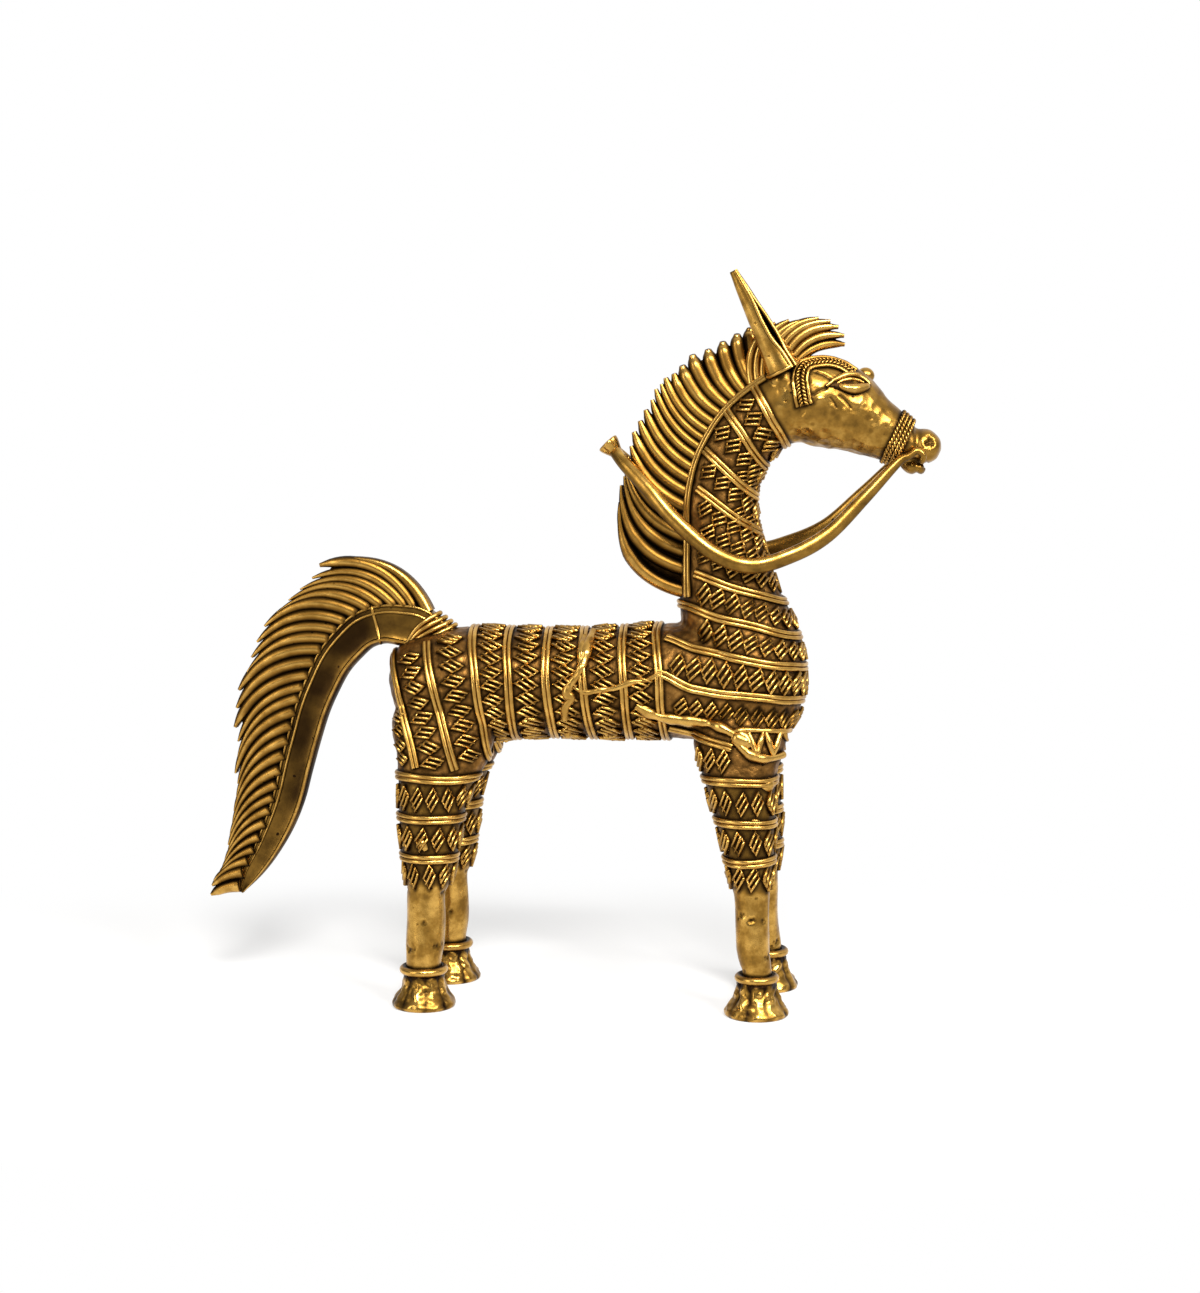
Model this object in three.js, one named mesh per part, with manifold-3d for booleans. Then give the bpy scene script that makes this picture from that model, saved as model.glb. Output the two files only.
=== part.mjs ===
// A cast brass horse figurine, in millimetres: +X towards the head, +Y to the horse's left, +Z up.
// The origin is on the floor, under the middle of the figure.
// A plain core of trunk, neck, head and legs carries wire bands, combed mane and tail, and the harness.

import * as THREE from 'three';
import { mergeVertices } from 'three/addons/utils/BufferGeometryUtils.js';
import Module from 'manifold-3d';

const wasm = await Module();
wasm.setup();

// Fits
const seamGap = 0.3;             // between one casting and the next, and under what is seated on it
const wireGap = 0.6;             // under a wire band, which bridges the facets of its seat

// Wire work
const wireDiameter = 2.0;        // a band is two such wires side by side
const bandRise = 1.6;            // height of a band over the skin
const ropeDiameter = 2.6;        // twisted rope between the wires of the brow band
const browRise = 2.2;
const nosebandRise = 2.0;

// Legs and hooves
const stance = 45;               // between the middles of a left and a right hoof
const legSplayTop = 19;          // between the same legs where they enter the trunk
const leftLegLead = 3;           // the left legs stand this much further forward
const hoofHeight = 13.2;
const hoofRimRadius = 13.1;
const hoofTopRadius = 8.2;
const hoofRimHeight = 2.6;
const hoofFlare = 1.6;           // how far the bell stands out half way up
const ringWire = 3.2;            // thickness of the ring over each hoof
const hindLegX = -59.5;
const foreLegX = 76.5;
const hindCannonRadius = 7.0;
const foreCannonRadius = 6.0;
const legRoom = 90;              // square clear of the trunk round each leg, below its top band
const legBandTilt = 1.4;         // rise of a leg band from its middle to its edge, square to a leg that leans
const hindBandHeights = [94.3, 78, 61.5];
const foreBandHeights = [95, 78.4, 63];

// Lozenges in relief between the girth bands, each a low pyramid
const lozengeCount = 25;         // round the trunk, in each space
const lozengeRise = 1.3;
const lozengeSeat = 0.25;        // height of the ground between them over the trunk, whose facets it covers
const lozengeRoot = 5;           // depth of the shell that carries them
const lozengeClearance = 2.5;    // from the middle of a band to the tips of the lozenges beside it

// Mane, forelock and tail
const maneStrandCount = 22;
const maneRootWidth = 12;
const maneTipWidth = 5;
const forelockStrandCount = 5;
const forelockRootWidth = 9;
const forelockTipWidth = 4.5;
const forelockStart = 0.7;       // stations of the head where the forelock's root begins and ends
const forelockEnd = 1.8;
const plumeStrandCount = 30;
const plumeRootWidth = 8.5;
const plumeTipWidth = 4;
const combRidge = 0.9;           // how far a strand stands over the groove beside it
const combSeat = 2.5;            // depth to which a comb's root reaches before it is cut to its seat
const stemOuterEdge = -0.87;      // the flat edge that carries the plume, as a share of the stem's half depth
const collarWireCount = 3;
const collarWidth = 5;
const collarRise = 1.5;
const maneStations = [5.75, 12.3];  // of the neck and head, where the mane begins and ends
const maneStripDegrees = 39;     // from the crest to the wires beside the mane's root
const maneArc = 50;              // from the crest to the end of a neck band
const chestArc = 41;             // from the shoulder to the end of a chest band

// Harness
const reinHeight = 5.4;
const reinWidth = 4.2;
const reinEndHeight = 3.8;
const reinFlareRadius = 4.3;
const leftReinRise = 4;          // the left rein hangs this much higher at its middle

// Head
const lipStation = 7;            // station of the head over the middle of the lower lip
const lipDrop = 1.2;             // middle of the lip, as a share of the muzzle's half depth
const lipHalves = [5, 4.6, 3.4];
const lipTilt = 0.35;
const mouthSlit = 1.4;
const slitLength = 16;
const slitTilt = 0.22;
const slitOffset = [7.4, 2.5];   // forward of and above the lip
const nostrilRadius = 1.7;
const nostrilStation = 8.05;
const nostrilDegrees = 69;
const earWall = 1.7;
const eyeLength = 17;
const eyeHeight = 8.4;
const eyeRise = 2.6;
const eyeTilt = 22;              // degrees by which the eye is turned level with the floor

// Stations of the core: x, z, half depth, half width
const trunkStations = [
  [-73.2, 118, 0.6, 0.6],
  [-71.4, 118.5, 12, 11],
  [-66, 121.2, 20.6, 18],
  [-58, 125.4, 26, 22],
  [-47, 129, 24.8, 22.3],
  [-30.5, 130.8, 23, 21.6],
  [-10, 131.3, 22, 21.2],
  [10, 131.5, 22.3, 21.4],
  [31, 132.4, 23, 21.8],
  [48, 132.8, 24, 22.5],
  [63, 133, 24.5, 22.5],
  [78, 132.7, 21, 19],
  [88, 132.8, 10, 10],
];
const neckStations = [
  [72, 107, 8, 8],
  [72, 115, 18.5, 17.5],
  [71.5, 127, 22.5, 21.5],
  [71, 139, 23.6, 22],
  [68.4, 150, 22.9, 20.4],
  [64.4, 163, 21, 17.6],
  [61.8, 176, 18.7, 15.6],
  [60, 190.3, 16.4, 14],
  [59, 204.5, 15.2, 13.2],
  [60.7, 216.6, 14.7, 13],
  [64.5, 225.7, 14.7, 13],
  [70.3, 234.5, 14.7, 13.3],
];
const headStations = [
  [79, 241.9, 15, 13.8],
  [89.3, 246.2, 17, 14.5],
  [99.5, 246.2, 18, 15],
  [109.8, 242.4, 16.6, 14],
  [119, 237, 13, 11.6],
  [127.8, 232.4, 10.5, 9.3],
  [132.7, 230.2, 9.3, 8.3],
  [137.6, 228.6, 7.2, 7.5],
  [142.6, 228, 6.3, 6.9],
  [146.3, 227.3, 4.2, 4.8],
  [147.8, 227, 0.4, 0.4],
];
const headStart = neckStations.length;

// Stations of a leg above its hoof: forward of the hoof, z, half depth, half width, share of the splay
const hindLegStations = [
  [0, hoofHeight + seamGap, hindCannonRadius, hindCannonRadius, 0],
  [0, 19, hindCannonRadius + 0.2, hindCannonRadius + 0.1, 0.04],
  [0.5, 26, hindCannonRadius + 1, hindCannonRadius + 0.4, 0.08],
  [0.8, 36, hindCannonRadius + 1, hindCannonRadius + 0.5, 0.13],
  [0.8, 47, hindCannonRadius + 1, hindCannonRadius + 0.8, 0.2],
  [1.6, 52.5, hindCannonRadius + 2.3, hindCannonRadius + 1.6, 0.24],
  [1.9, 61.5, 11.2, 9.8, 0.3],
  [2.5, 78, 13.2, 11.2, 0.43],
  [4.3, 94.3, 16, 12, 0.62],
  [6.5, 106, 20.3, 13.2, 0.8],
  [7, 118, 21.3, 12.5, 0.93],
  [6, 130, 17, 10, 1],
];
const foreLegStations = [
  [0, hoofHeight + seamGap, foreCannonRadius, foreCannonRadius, 0],
  [0, 18, foreCannonRadius, foreCannonRadius, 0.02],
  [-1.4, 26, foreCannonRadius + 0.6, foreCannonRadius + 0.5, 0.08],
  [-2, 36, foreCannonRadius + 0.9, foreCannonRadius + 0.7, 0.13],
  [-2.3, 49, foreCannonRadius + 1.4, foreCannonRadius + 1.2, 0.21],
  [-2.8, 54.3, foreCannonRadius + 2.4, foreCannonRadius + 2, 0.25],
  [-3.3, 63, 9.9, 9.2, 0.31],
  [-5, 78.4, 11.8, 10.6, 0.44],
  [-7.4, 95.5, 14.6, 11.9, 0.62],
  [-8, 108, 18.5, 13, 0.83],
  [-7, 122, 18.5, 11, 1],
];

// Stations of the tail stem, which arches off the rump
const tailStations = [
  [-53, 145.7, 9.2, 8],
  [-64, 153, 9.8, 8],
  [-71, 154.8, 9.3, 7.7],
  [-79.3, 155.2, 8.7, 7.4],
  [-87.6, 152.5, 8.5, 7.2],
  [-94.3, 146.6, 8.3, 7],
  [-100.5, 139, 8, 6.8],
  [-105.7, 129, 7.7, 6.6],
  [-109.7, 119.5, 7.5, 6.4],
  [-113.3, 107.8, 7.3, 6.2],
  [-116.9, 95, 7.2, 6],
  [-120.2, 82.3, 7, 5.6],
  [-124.6, 70.7, 6.5, 5.2],
  [-130.7, 58.7, 5.4, 4.4],
  [-136.9, 49, 4, 3.2],
  [-141.7, 40.4, 0.8, 0.8],
];

// Bands round the trunk: the two points where a band's plane meets the outline, back first
const girths = [
  [[-41, 156], [-34, 106.3]],
  [[-26, 156], [-23, 107.5]],
  [[-10.5, 155], [-7.5, 108]],
  [[4.5, 155], [8.5, 108]],
  [[20.5, 155.5], [24, 108]],
  [[34.5, 156.5], [38.5, 107.5]],
];
// Bands round the neck, from the mane to the throat: the head ends at the first, the trunk at the last
const collars = [
  [[72, 254.5], [86.5, 229]],
  [[61, 244.3], [78, 220]],
  [[50.5, 230.5], [76.5, 205.5]],
  [[47, 214], [78.5, 191.3]],
  [[45.5, 179.2], [86, 165.6]],
  [[43.5, 165], [90.5, 151.8]],
];
// Bands over the chest and shoulders
const chestBands = [
  [[44, 148.8], [95, 138]],
  [[44, 132.7], [93, 125]],
];
// Bands round the rump and down the haunches
const rumpBand = [[-70, 128], [-61, 96.6]];
const haunchBand = [[-60, 151], [-45.5, 95]];

// Strands, from one end of the root to the other: length, direction in the side view, and bow
const maneLengths = [46, 35, 30.5, 26, 21.5];
const maneDirections = [127, 133, 128, 128, 104];
const maneBows = [0.42, 0.24, 0.2, 0.2, 0.15];
const forelockLengths = [22, 21, 20];
const forelockDirections = [88, 56, 26];
const plumeLengths = [37, 29, 28.5, 24, 21, 12];
const plumeDirections = [147, 166, 191, 204, 214, 196];
const plumeBows = [-0.45, -0.32, -0.26, -0.22, -0.2, -0.15];

// Head fittings: places are a station forward of the neck and degrees down from the crest
const browPlaces = [[1.4, 97], [1.3, 76], [1.3, 56], [1.45, 40], [1.85, 31], [2.25, 27], [2.7, 32]];
const eyeStation = 2.7;
const eyeDegrees = 58;
const nosebandStation = 5.5;
const nosebandWidth = 6.5;
const earBase = [89, 7.5, 250];
const earTip = [65, 15, 297.5];
const earRadii = [3.4, 5.6, 6.8, 6, 4.4, 2.5, 0.8];
const earFold = 0.75;

// The route of a rein: x, distance from the middle plane, z
const reinPoints = [
  [134.6, 7.4, 224.3],
  [131.2, 9, 219.8],
  [118, 12, 206.4],
  [103.2, 15.5, 193],
  [88.3, 18.8, 185.2],
  [73, 20.4, 181.2],
  [58, 20.4, 186.2],
  [42.4, 16.5, 199],
  [31.7, 12.3, 210.8],
  [21.5, 6.5, 221],
  [17, 1.6, 226],
];
const reinEndTilt = -0.6;

// Closed meshes and cuts

// A closed mesh from its points and faces, turned so that the faces look out
function closedMesh(points, faces) {
  let volume = 0;
  for (const [a, b, c] of faces) {
    volume += points[a].dot(new THREE.Vector3().crossVectors(points[b], points[c]));
  }
  const turned = volume < 0 ? faces.map(([a, b, c]) => [a, c, b]) : faces;
  const geometry = new THREE.BufferGeometry().setFromPoints(points);
  geometry.setIndex(turned.flat());
  return geometry;
}

function solidOf(geometry) {
  const bare = geometry.clone();
  bare.deleteAttribute('normal');
  bare.deleteAttribute('uv');
  const merged = mergeVertices(bare, 1e-4);
  return new wasm.Manifold(new wasm.Mesh({
    numProp: 3,
    vertProperties: new Float32Array(merged.attributes.position.array),
    triVerts: new Uint32Array(merged.index.array),
  }));
}

function geometryOf(solid) {
  const mesh = solid.getMesh();
  const geometry = new THREE.BufferGeometry();
  geometry.setAttribute('position', new THREE.BufferAttribute(mesh.vertProperties, mesh.numProp));
  geometry.setIndex(new THREE.BufferAttribute(mesh.triVerts, 1));
  return geometry;
}

// A block that ends in the plane through two points of the side view; sign 1 keeps what is above or ahead
function halfSpace([x0, z0], [x1, z1], sign, gap) {
  const reach = 600;
  const along = new THREE.Vector3(x0 - x1, 0, z0 - z1).normalize();
  const out = new THREE.Vector3(along.z, 0, -along.x).multiplyScalar(sign);
  const block = new THREE.BoxGeometry(reach, reach, reach);
  const turn = new THREE.Matrix4().makeBasis(out, new THREE.Vector3().crossVectors(along, out), along);
  const middle = new THREE.Vector3((x0 + x1) / 2, 0, (z0 + z1) / 2).addScaledVector(out, reach / 2 + gap);
  return solidOf(block.applyMatrix4(turn.setPosition(middle)));
}

// Lofts

function smoothStep(a, b, c, d, t) {
  return b + 0.5 * t * (c - a + t * (2 * a - 5 * b + 4 * c - d + t * (3 * (b - c) + d - a)));
}

// A body drawn smoothly through its stations, with sections square to its middle line.
// Angle 0 is the left-hand side of the line in the side view: a trunk's back, a neck's mane.
function makeLoft(stations, swell = 0) {
  const last = stations.length - 1;
  const row = (u) => {
    const i = THREE.MathUtils.clamp(Math.floor(u), 0, last - 1);
    const [a, b, c, d] = [i - 1, i, i + 1, i + 2].map((k) => stations[THREE.MathUtils.clamp(k, 0, last)]);
    return b.map((value, k) => smoothStep(a[k], value, c[k], d[k], u - i));
  };
  const place = (u, cosine, sine) => {
    const [x, z, depth, width, y = 0] = row(u);
    const [x0, z0] = row(Math.max(u - 0.1, 0));
    const [x1, z1] = row(Math.min(u + 0.1, last));
    const across = new THREE.Vector2(z0 - z1, x1 - x0).normalize().multiplyScalar((depth + swell) * cosine);
    return new THREE.Vector3(x + across.x, y + (width + swell) * sine, z + across.y);
  };
  const at = (u, angle) => place(u, Math.cos(angle), Math.sin(angle));
  const normal = (u, angle) => {
    const along = at(Math.min(u + 0.05, last), angle).sub(at(Math.max(u - 0.05, 0), angle));
    const round = at(u, angle + 0.02).sub(at(u, angle - 0.02));
    return new THREE.Vector3().crossVectors(along, round).normalize();
  };
  return { at, place, normal, row, last };
}

function roundOutline(sides) {
  return Array.from({ length: sides }, (_, j) => {
    const angle = (2 * Math.PI * j) / sides;
    return [Math.cos(angle), Math.sin(angle)];
  });
}

// Rings of points joined in order, with a fan over each end
function skinOver(rings) {
  const sides = rings[0].length;
  const points = rings.flat();
  const faces = [];
  for (let i = 0; i + 1 < rings.length; i++) {
    for (let j = 0; j < sides; j++) {
      const [a, d] = [i * sides + j, i * sides + ((j + 1) % sides)];
      faces.push([a, a + sides, d + sides], [a, d + sides, d]);
    }
  }
  for (const [start, flip] of [[0, 1], [points.length - sides, 0]]) {
    const middle = new THREE.Vector3();
    for (let j = 0; j < sides; j++) middle.addScaledVector(points[start + j], 1 / sides);
    const centre = points.push(middle) - 1;
    for (let j = 0; j < sides; j++) {
      const [a, b] = [start + j, start + ((j + 1) % sides)];
      faces.push(flip ? [centre, a, b] : [centre, b, a]);
    }
  }
  return closedMesh(points, faces);
}

function loftGeometry(loft, outline, from = 0, to = loft.last, perStation = 1) {
  const count = Math.round((to - from) * perStation);
  const rings = Array.from({ length: count + 1 }, (_, i) => {
    const u = from + ((to - from) * i) / count;
    return outline.map(([cosine, sine]) => loft.place(u, cosine, sine));
  });
  return skinOver(rings);
}

// Wire bands

// The section of wires laid side by side: across the band, then out from the skin
function wireSection(wires, width, rise) {
  const section = [[-width / 2, 0]];
  for (let i = 0; i < wires; i++) {
    const middle = ((i + 0.5) / wires - 0.5) * width;
    section.push([middle, rise]);
    if (i + 1 < wires) section.push([middle + width / wires / 2, rise * 0.45]);
  }
  section.push([width / 2, 0]);
  return section;
}

// A section swept along a path of points and outward normals, as a ring or as a strip with two ends
function sweepOnSkin(path, section, gap, isRing) {
  const count = path.length;
  const pick = (i) => path[isRing ? (i + count) % count : THREE.MathUtils.clamp(i, 0, count - 1)];
  const rings = path.map(({ point, normal }, i) => {
    const out = normal.clone().add(pick(i - 1).normal).add(pick(i + 1).normal).normalize();
    const along = pick(i + 1).point.clone().sub(pick(i - 1).point).normalize();
    const side = new THREE.Vector3().crossVectors(along, out).normalize();
    return section.map(([u, v]) => point.clone().addScaledVector(side, u).addScaledVector(out, gap + v));
  });
  if (!isRing) return skinOver(rings);
  const wide = section.length;
  const faces = [];
  for (let i = 0; i < count; i++) {
    for (let j = 0; j < wide; j++) {
      const [a, b] = [i * wide + j, i * wide + ((j + 1) % wide)];
      const step = ((i + 1) % count) * wide - i * wide;
      faces.push([a, a + step, b + step], [a, b + step, b]);
    }
  }
  return closedMesh(rings.flat(), faces);
}

// Where a plane across the side view meets the skin, by rays from its middle: angle 0 is the first point
function planePath(skin, [x0, z0], [x1, z1], fromDegrees, toDegrees, steps) {
  const middle = new THREE.Vector3((x0 + x1) / 2, 0, (z0 + z1) / 2);
  const up = new THREE.Vector3(x0 - x1, 0, z0 - z1).normalize();
  const left = new THREE.Vector3(0, 1, 0);
  const isRing = toDegrees - fromDegrees === 360;
  const ray = new THREE.Raycaster();
  return Array.from({ length: isRing ? steps : steps + 1 }, (_, i) => {
    const angle = THREE.MathUtils.degToRad(fromDegrees + ((toDegrees - fromDegrees) * i) / steps);
    const direction = up.clone().multiplyScalar(Math.cos(angle)).addScaledVector(left, Math.sin(angle));
    ray.set(middle, direction);
    const hit = ray.intersectObject(skin).at(-1);
    return { point: hit.point, normal: hit.face.normal };
  });
}

// A ring round a loft at one station
function ringPath(loft, u, steps) {
  return Array.from({ length: steps }, (_, k) => {
    const angle = (2 * Math.PI * k) / steps;
    return { point: loft.at(u, angle), normal: loft.normal(u, angle) };
  });
}

// A path over a loft through hand-picked places of station and angle in degrees
function loftPath(loft, places, steps) {
  const curve = new THREE.CatmullRomCurve3(places.map(([u, degrees]) => new THREE.Vector3(u, degrees, 0)));
  return Array.from({ length: steps + 1 }, (_, i) => {
    const { x: u, y: degrees } = curve.getPoint(i / steps);
    const angle = THREE.MathUtils.degToRad(degrees);
    return { point: loft.at(u, angle), normal: loft.normal(u, angle) };
  });
}

// Combs: strands swept side by side from a root line to a line of tips

// Strands on both sides of a slab; root and tip give places in the side view, a share s of the way along
function combGeometry({ root, tip, bow, strands, rootWidth, tipWidth, notch, rows }) {
  const columns = 2 * strands + 1;
  const points = [];
  for (const side of [-1, 1]) {
    for (let i = 0; i < columns; i++) {
      const s = i / (columns - 1);
      const isCrest = i % 2 === 1;
      const from = root(s);
      const to = tip(s);
      const chord = to.clone().sub(from);
      const sideways = new THREE.Vector2(-chord.y, chord.x).multiplyScalar(bow(s));
      const middle = from.clone().lerp(to, 0.5).add(sideways);
      const strand = new THREE.QuadraticBezierCurve(from, middle, to);
      for (let j = 0; j < rows; j++) {
        const t = (j / (rows - 1)) * (isCrest ? 1 : 1 - notch);
        const { x, y: z } = strand.getPoint(t);
        const half = THREE.MathUtils.lerp(rootWidth, tipWidth, t) / 2 + (isCrest ? 0 : -combRidge);
        points.push(new THREE.Vector3(x, side * half, z));
      }
    }
  }
  const index = (side, i, j) => (side * columns + i) * rows + j;
  const faces = [];
  const quad = (a, b, c, d) => faces.push([a, b, c], [a, c, d]);
  for (let i = 0; i + 1 < columns; i++) {
    for (let j = 0; j + 1 < rows; j++) {
      quad(index(0, i, j), index(0, i + 1, j), index(0, i + 1, j + 1), index(0, i, j + 1));
      quad(index(1, i, j), index(1, i, j + 1), index(1, i + 1, j + 1), index(1, i + 1, j));
    }
    quad(index(0, i, 0), index(1, i, 0), index(1, i + 1, 0), index(0, i + 1, 0));
    quad(index(0, i, rows - 1), index(0, i + 1, rows - 1), index(1, i + 1, rows - 1), index(1, i, rows - 1));
  }
  for (let j = 0; j + 1 < rows; j++) {
    quad(index(0, 0, j), index(0, 0, j + 1), index(1, 0, j + 1), index(1, 0, j));
    const end = columns - 1;
    quad(index(0, end, j), index(1, end, j), index(1, end, j + 1), index(0, end, j + 1));
  }
  return closedMesh(points, faces);
}

// A smooth list of values read at a share s of the way along it
function alongList(values) {
  const loft = makeLoft(values.map((value) => [value, 0, 0, 0]));
  return (s) => loft.row(s * loft.last)[0];
}

// Strand tips: a length from the root, in a direction given in degrees of the side view
function tipsFrom(root, lengths, degrees) {
  const length = alongList(lengths);
  const direction = alongList(degrees);
  return (s) => {
    const angle = THREE.MathUtils.degToRad(direction(s));
    return root(s).add(new THREE.Vector2(Math.cos(angle), Math.sin(angle)).multiplyScalar(length(s)));
  };
}

// The root line of a comb along the edge of the loft that carries it, sunk by a depth
function rootOn(loft, from, to, cosine, depth) {
  return (s) => {
    const u = THREE.MathUtils.lerp(from, to, s);
    const edge = loft.place(u, cosine, 0);
    const inward = loft.place(u, 0, 0).sub(edge).normalize();
    edge.addScaledVector(inward, depth);
    return new THREE.Vector2(edge.x, edge.z);
  };
}

// The core

const trunkLoft = makeLoft(trunkStations);
const neckLoft = makeLoft([...neckStations, ...headStations]);
const tailLoft = makeLoft(tailStations);

function legLoft(stations, hoofX, side, swell = 0) {
  const lead = side > 0 ? leftLegLead : 0;
  const rows = stations.map(([forward, z, depth, width, share]) => [
    hoofX + forward + lead * (1 - share),
    z,
    depth,
    width,
    (side * THREE.MathUtils.lerp(stance, legSplayTop, share)) / 2,
  ]);
  return makeLoft(rows, swell);
}

const legs = [
  { name: 'right_hind', side: -1, x: hindLegX, stations: hindLegStations, bands: hindBandHeights },
  { name: 'left_hind', side: 1, x: hindLegX, stations: hindLegStations, bands: hindBandHeights },
  { name: 'right_fore', side: -1, x: foreLegX, stations: foreLegStations, bands: foreBandHeights },
  { name: 'left_fore', side: 1, x: foreLegX, stations: foreLegStations, bands: foreBandHeights },
];

const trunkSideCount = 20;
const neckSideCount = 16;
const legSideCount = 12;

// Trunk, neck, head and legs as one, each swollen by the same amount
function coreSolid(swell) {
  const bodyOf = (loft, sides) => solidOf(loftGeometry(loft, roundOutline(sides)));
  let body = bodyOf(makeLoft(trunkStations, swell), trunkSideCount);
  body = body.add(bodyOf(makeLoft([...neckStations, ...headStations], swell), neckSideCount));
  for (const { stations, x, side } of legs) {
    body = body.add(bodyOf(legLoft(stations, x, side, swell), legSideCount));
  }
  return body;
}

const core = coreSolid(0);
const coreRoom = coreSolid(seamGap);
const bothSides = new THREE.MeshBasicMaterial({ side: THREE.DoubleSide });  // rays meet a skin from inside
const skin = new THREE.Mesh(geometryOf(core), bothSides);

const [headSeam] = collars;
const trunkSeam = collars.at(-1);
const levelAt = (z) => [[-1, z], [1, z]];

// Cuts a seat into a piece so that it clears the core
function seated(geometry) {
  return geometryOf(solidOf(geometry).subtract(coreRoom));
}

// A band bridges the facets under it, and is cut only where it crosses a hollow of the core
function laid(geometry) {
  return solidOf(geometry).intersect(core).isEmpty() ? geometry : seated(geometry);
}

const figure = new THREE.Group();
const brass = { polished: '#c39a45', rubbed: '#b0853a', dark: '#7d5c26' };

function addPart(name, geometry, tone, roughness) {
  geometry.computeVertexNormals();
  const material = new THREE.MeshStandardMaterial({ color: tone, roughness, metalness: 1 });
  const mesh = new THREE.Mesh(geometry, material);
  mesh.name = name;
  figure.add(mesh);
}

// The plane through two points of the side view, moved forward
function movedPlane([[x0, z0], [x1, z1]], forward) {
  const along = new THREE.Vector2(x0 - x1, z0 - z1).setLength(forward);
  return [[x0 + along.y, z0 - along.x], [x1 + along.y, z1 - along.x]];
}

// A shell round the trunk with a row of lozenges in each space between two girth bands.
// Each row is a ring of tips, a ring of tops and valleys by turns, and a ring of tips.
function lozengeShell() {
  const smooth = new THREE.Mesh(loftGeometry(trunkLoft, roundOutline(60), 0, trunkLoft.last, 4), bothSides);
  const points = [];
  const faces = [];
  const addRing = (ends, count, heightOf) => {
    planePath(smooth, ...ends, 0, 360, count).forEach(({ point, normal }, k) => {
      points.push(point.addScaledVector(normal, heightOf(k)));
    });
    return points.length - count;
  };
  const join = (low, high) => {
    for (let k = 0; k < lozengeCount; k++) {
      const next = (k + 1) % lozengeCount;
      faces.push([low + k, low + next, high + next], [low + k, high + next, high + k]);
    }
  };
  const ground = () => lozengeSeat;
  let previous = null;
  let first = null;
  girths.slice(1).forEach((ends, i) => {
    const [before, after] = [movedPlane(girths[i], lozengeClearance), movedPlane(ends, -lozengeClearance)];
    const middle = before.map(([x, z], j) => [(x + after[j][0]) / 2, (z + after[j][1]) / 2]);
    const low = addRing(before, lozengeCount, ground);
    const tops = addRing(middle, 2 * lozengeCount, (k) => (k % 2 ? lozengeSeat : lozengeRise));
    const high = addRing(after, lozengeCount, ground);
    for (let k = 0; k < lozengeCount; k++) {
      const next = (k + 1) % lozengeCount;
      const [top, right] = [tops + 2 * k, tops + 2 * k + 1];
      const left = tops + ((2 * k - 1 + 2 * lozengeCount) % (2 * lozengeCount));
      faces.push([low + k, right, top], [low + k, top, left], [high + k, top, right], [high + k, left, top]);
      faces.push([low + k, low + next, right], [high + k, right, high + next]);
    }
    if (previous !== null) join(previous, low);
    first ??= low;
    previous = high;
  });
  const deep = () => -lozengeRoot;
  const innerEnd = addRing(movedPlane(girths.at(-1), -lozengeClearance), lozengeCount, deep);
  const innerStart = addRing(movedPlane(girths[0], lozengeClearance), lozengeCount, deep);
  join(previous, innerEnd);
  join(innerEnd, innerStart);
  join(innerStart, first);
  return solidOf(closedMesh(points, faces));
}

// The trunk ends under the lowest neck band and, at each leg, under that leg's top band
function addTrunk() {
  let trunk = core.add(lozengeShell()).intersect(halfSpace(...trunkSeam, -1, seamGap / 2));
  for (const { side, x, bands } of legs) {
    const top = bands[0] + seamGap / 2;
    const block = new THREE.BoxGeometry(legRoom, legRoom, top).translate(x, (side * legRoom) / 2, top / 2);
    trunk = trunk.subtract(solidOf(block));
  }
  addPart('trunk', geometryOf(trunk), brass.dark, 0.45);
}

function addNeck() {
  const neck = core
    .intersect(halfSpace(...trunkSeam, 1, seamGap / 2))
    .intersect(halfSpace(...headSeam, -1, seamGap / 2));
  addPart('neck', geometryOf(neck), brass.dark, 0.45);
}

// The head has a mouth slit under the muzzle, a lower lip and two nostrils
function addHead() {
  const { x: lipX, z: lipZ } = neckLoft.place(headStart + lipStation, -lipDrop, 0);
  const lip = new THREE.SphereGeometry(1, 10, 6).scale(...lipHalves).rotateY(lipTilt);
  lip.translate(lipX, 0, lipZ);
  const [slitAhead, slitUp] = slitOffset;
  const slit = new THREE.BoxGeometry(slitLength, slitLength, mouthSlit).rotateY(slitTilt);
  slit.translate(lipX + slitAhead, 0, lipZ + slitUp);
  let head = core.intersect(halfSpace(...headSeam, 1, seamGap / 2));
  head = head.add(solidOf(lip)).subtract(solidOf(slit));
  for (const side of [-1, 1]) {
    const angle = side * THREE.MathUtils.degToRad(nostrilDegrees);
    const place = neckLoft.at(headStart + nostrilStation, angle);
    const nostril = new THREE.SphereGeometry(nostrilRadius, 8, 5).translate(place.x, place.y, place.z);
    head = head.subtract(solidOf(nostril));
  }
  addPart('head', geometryOf(head), brass.polished, 0.3);
}

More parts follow.
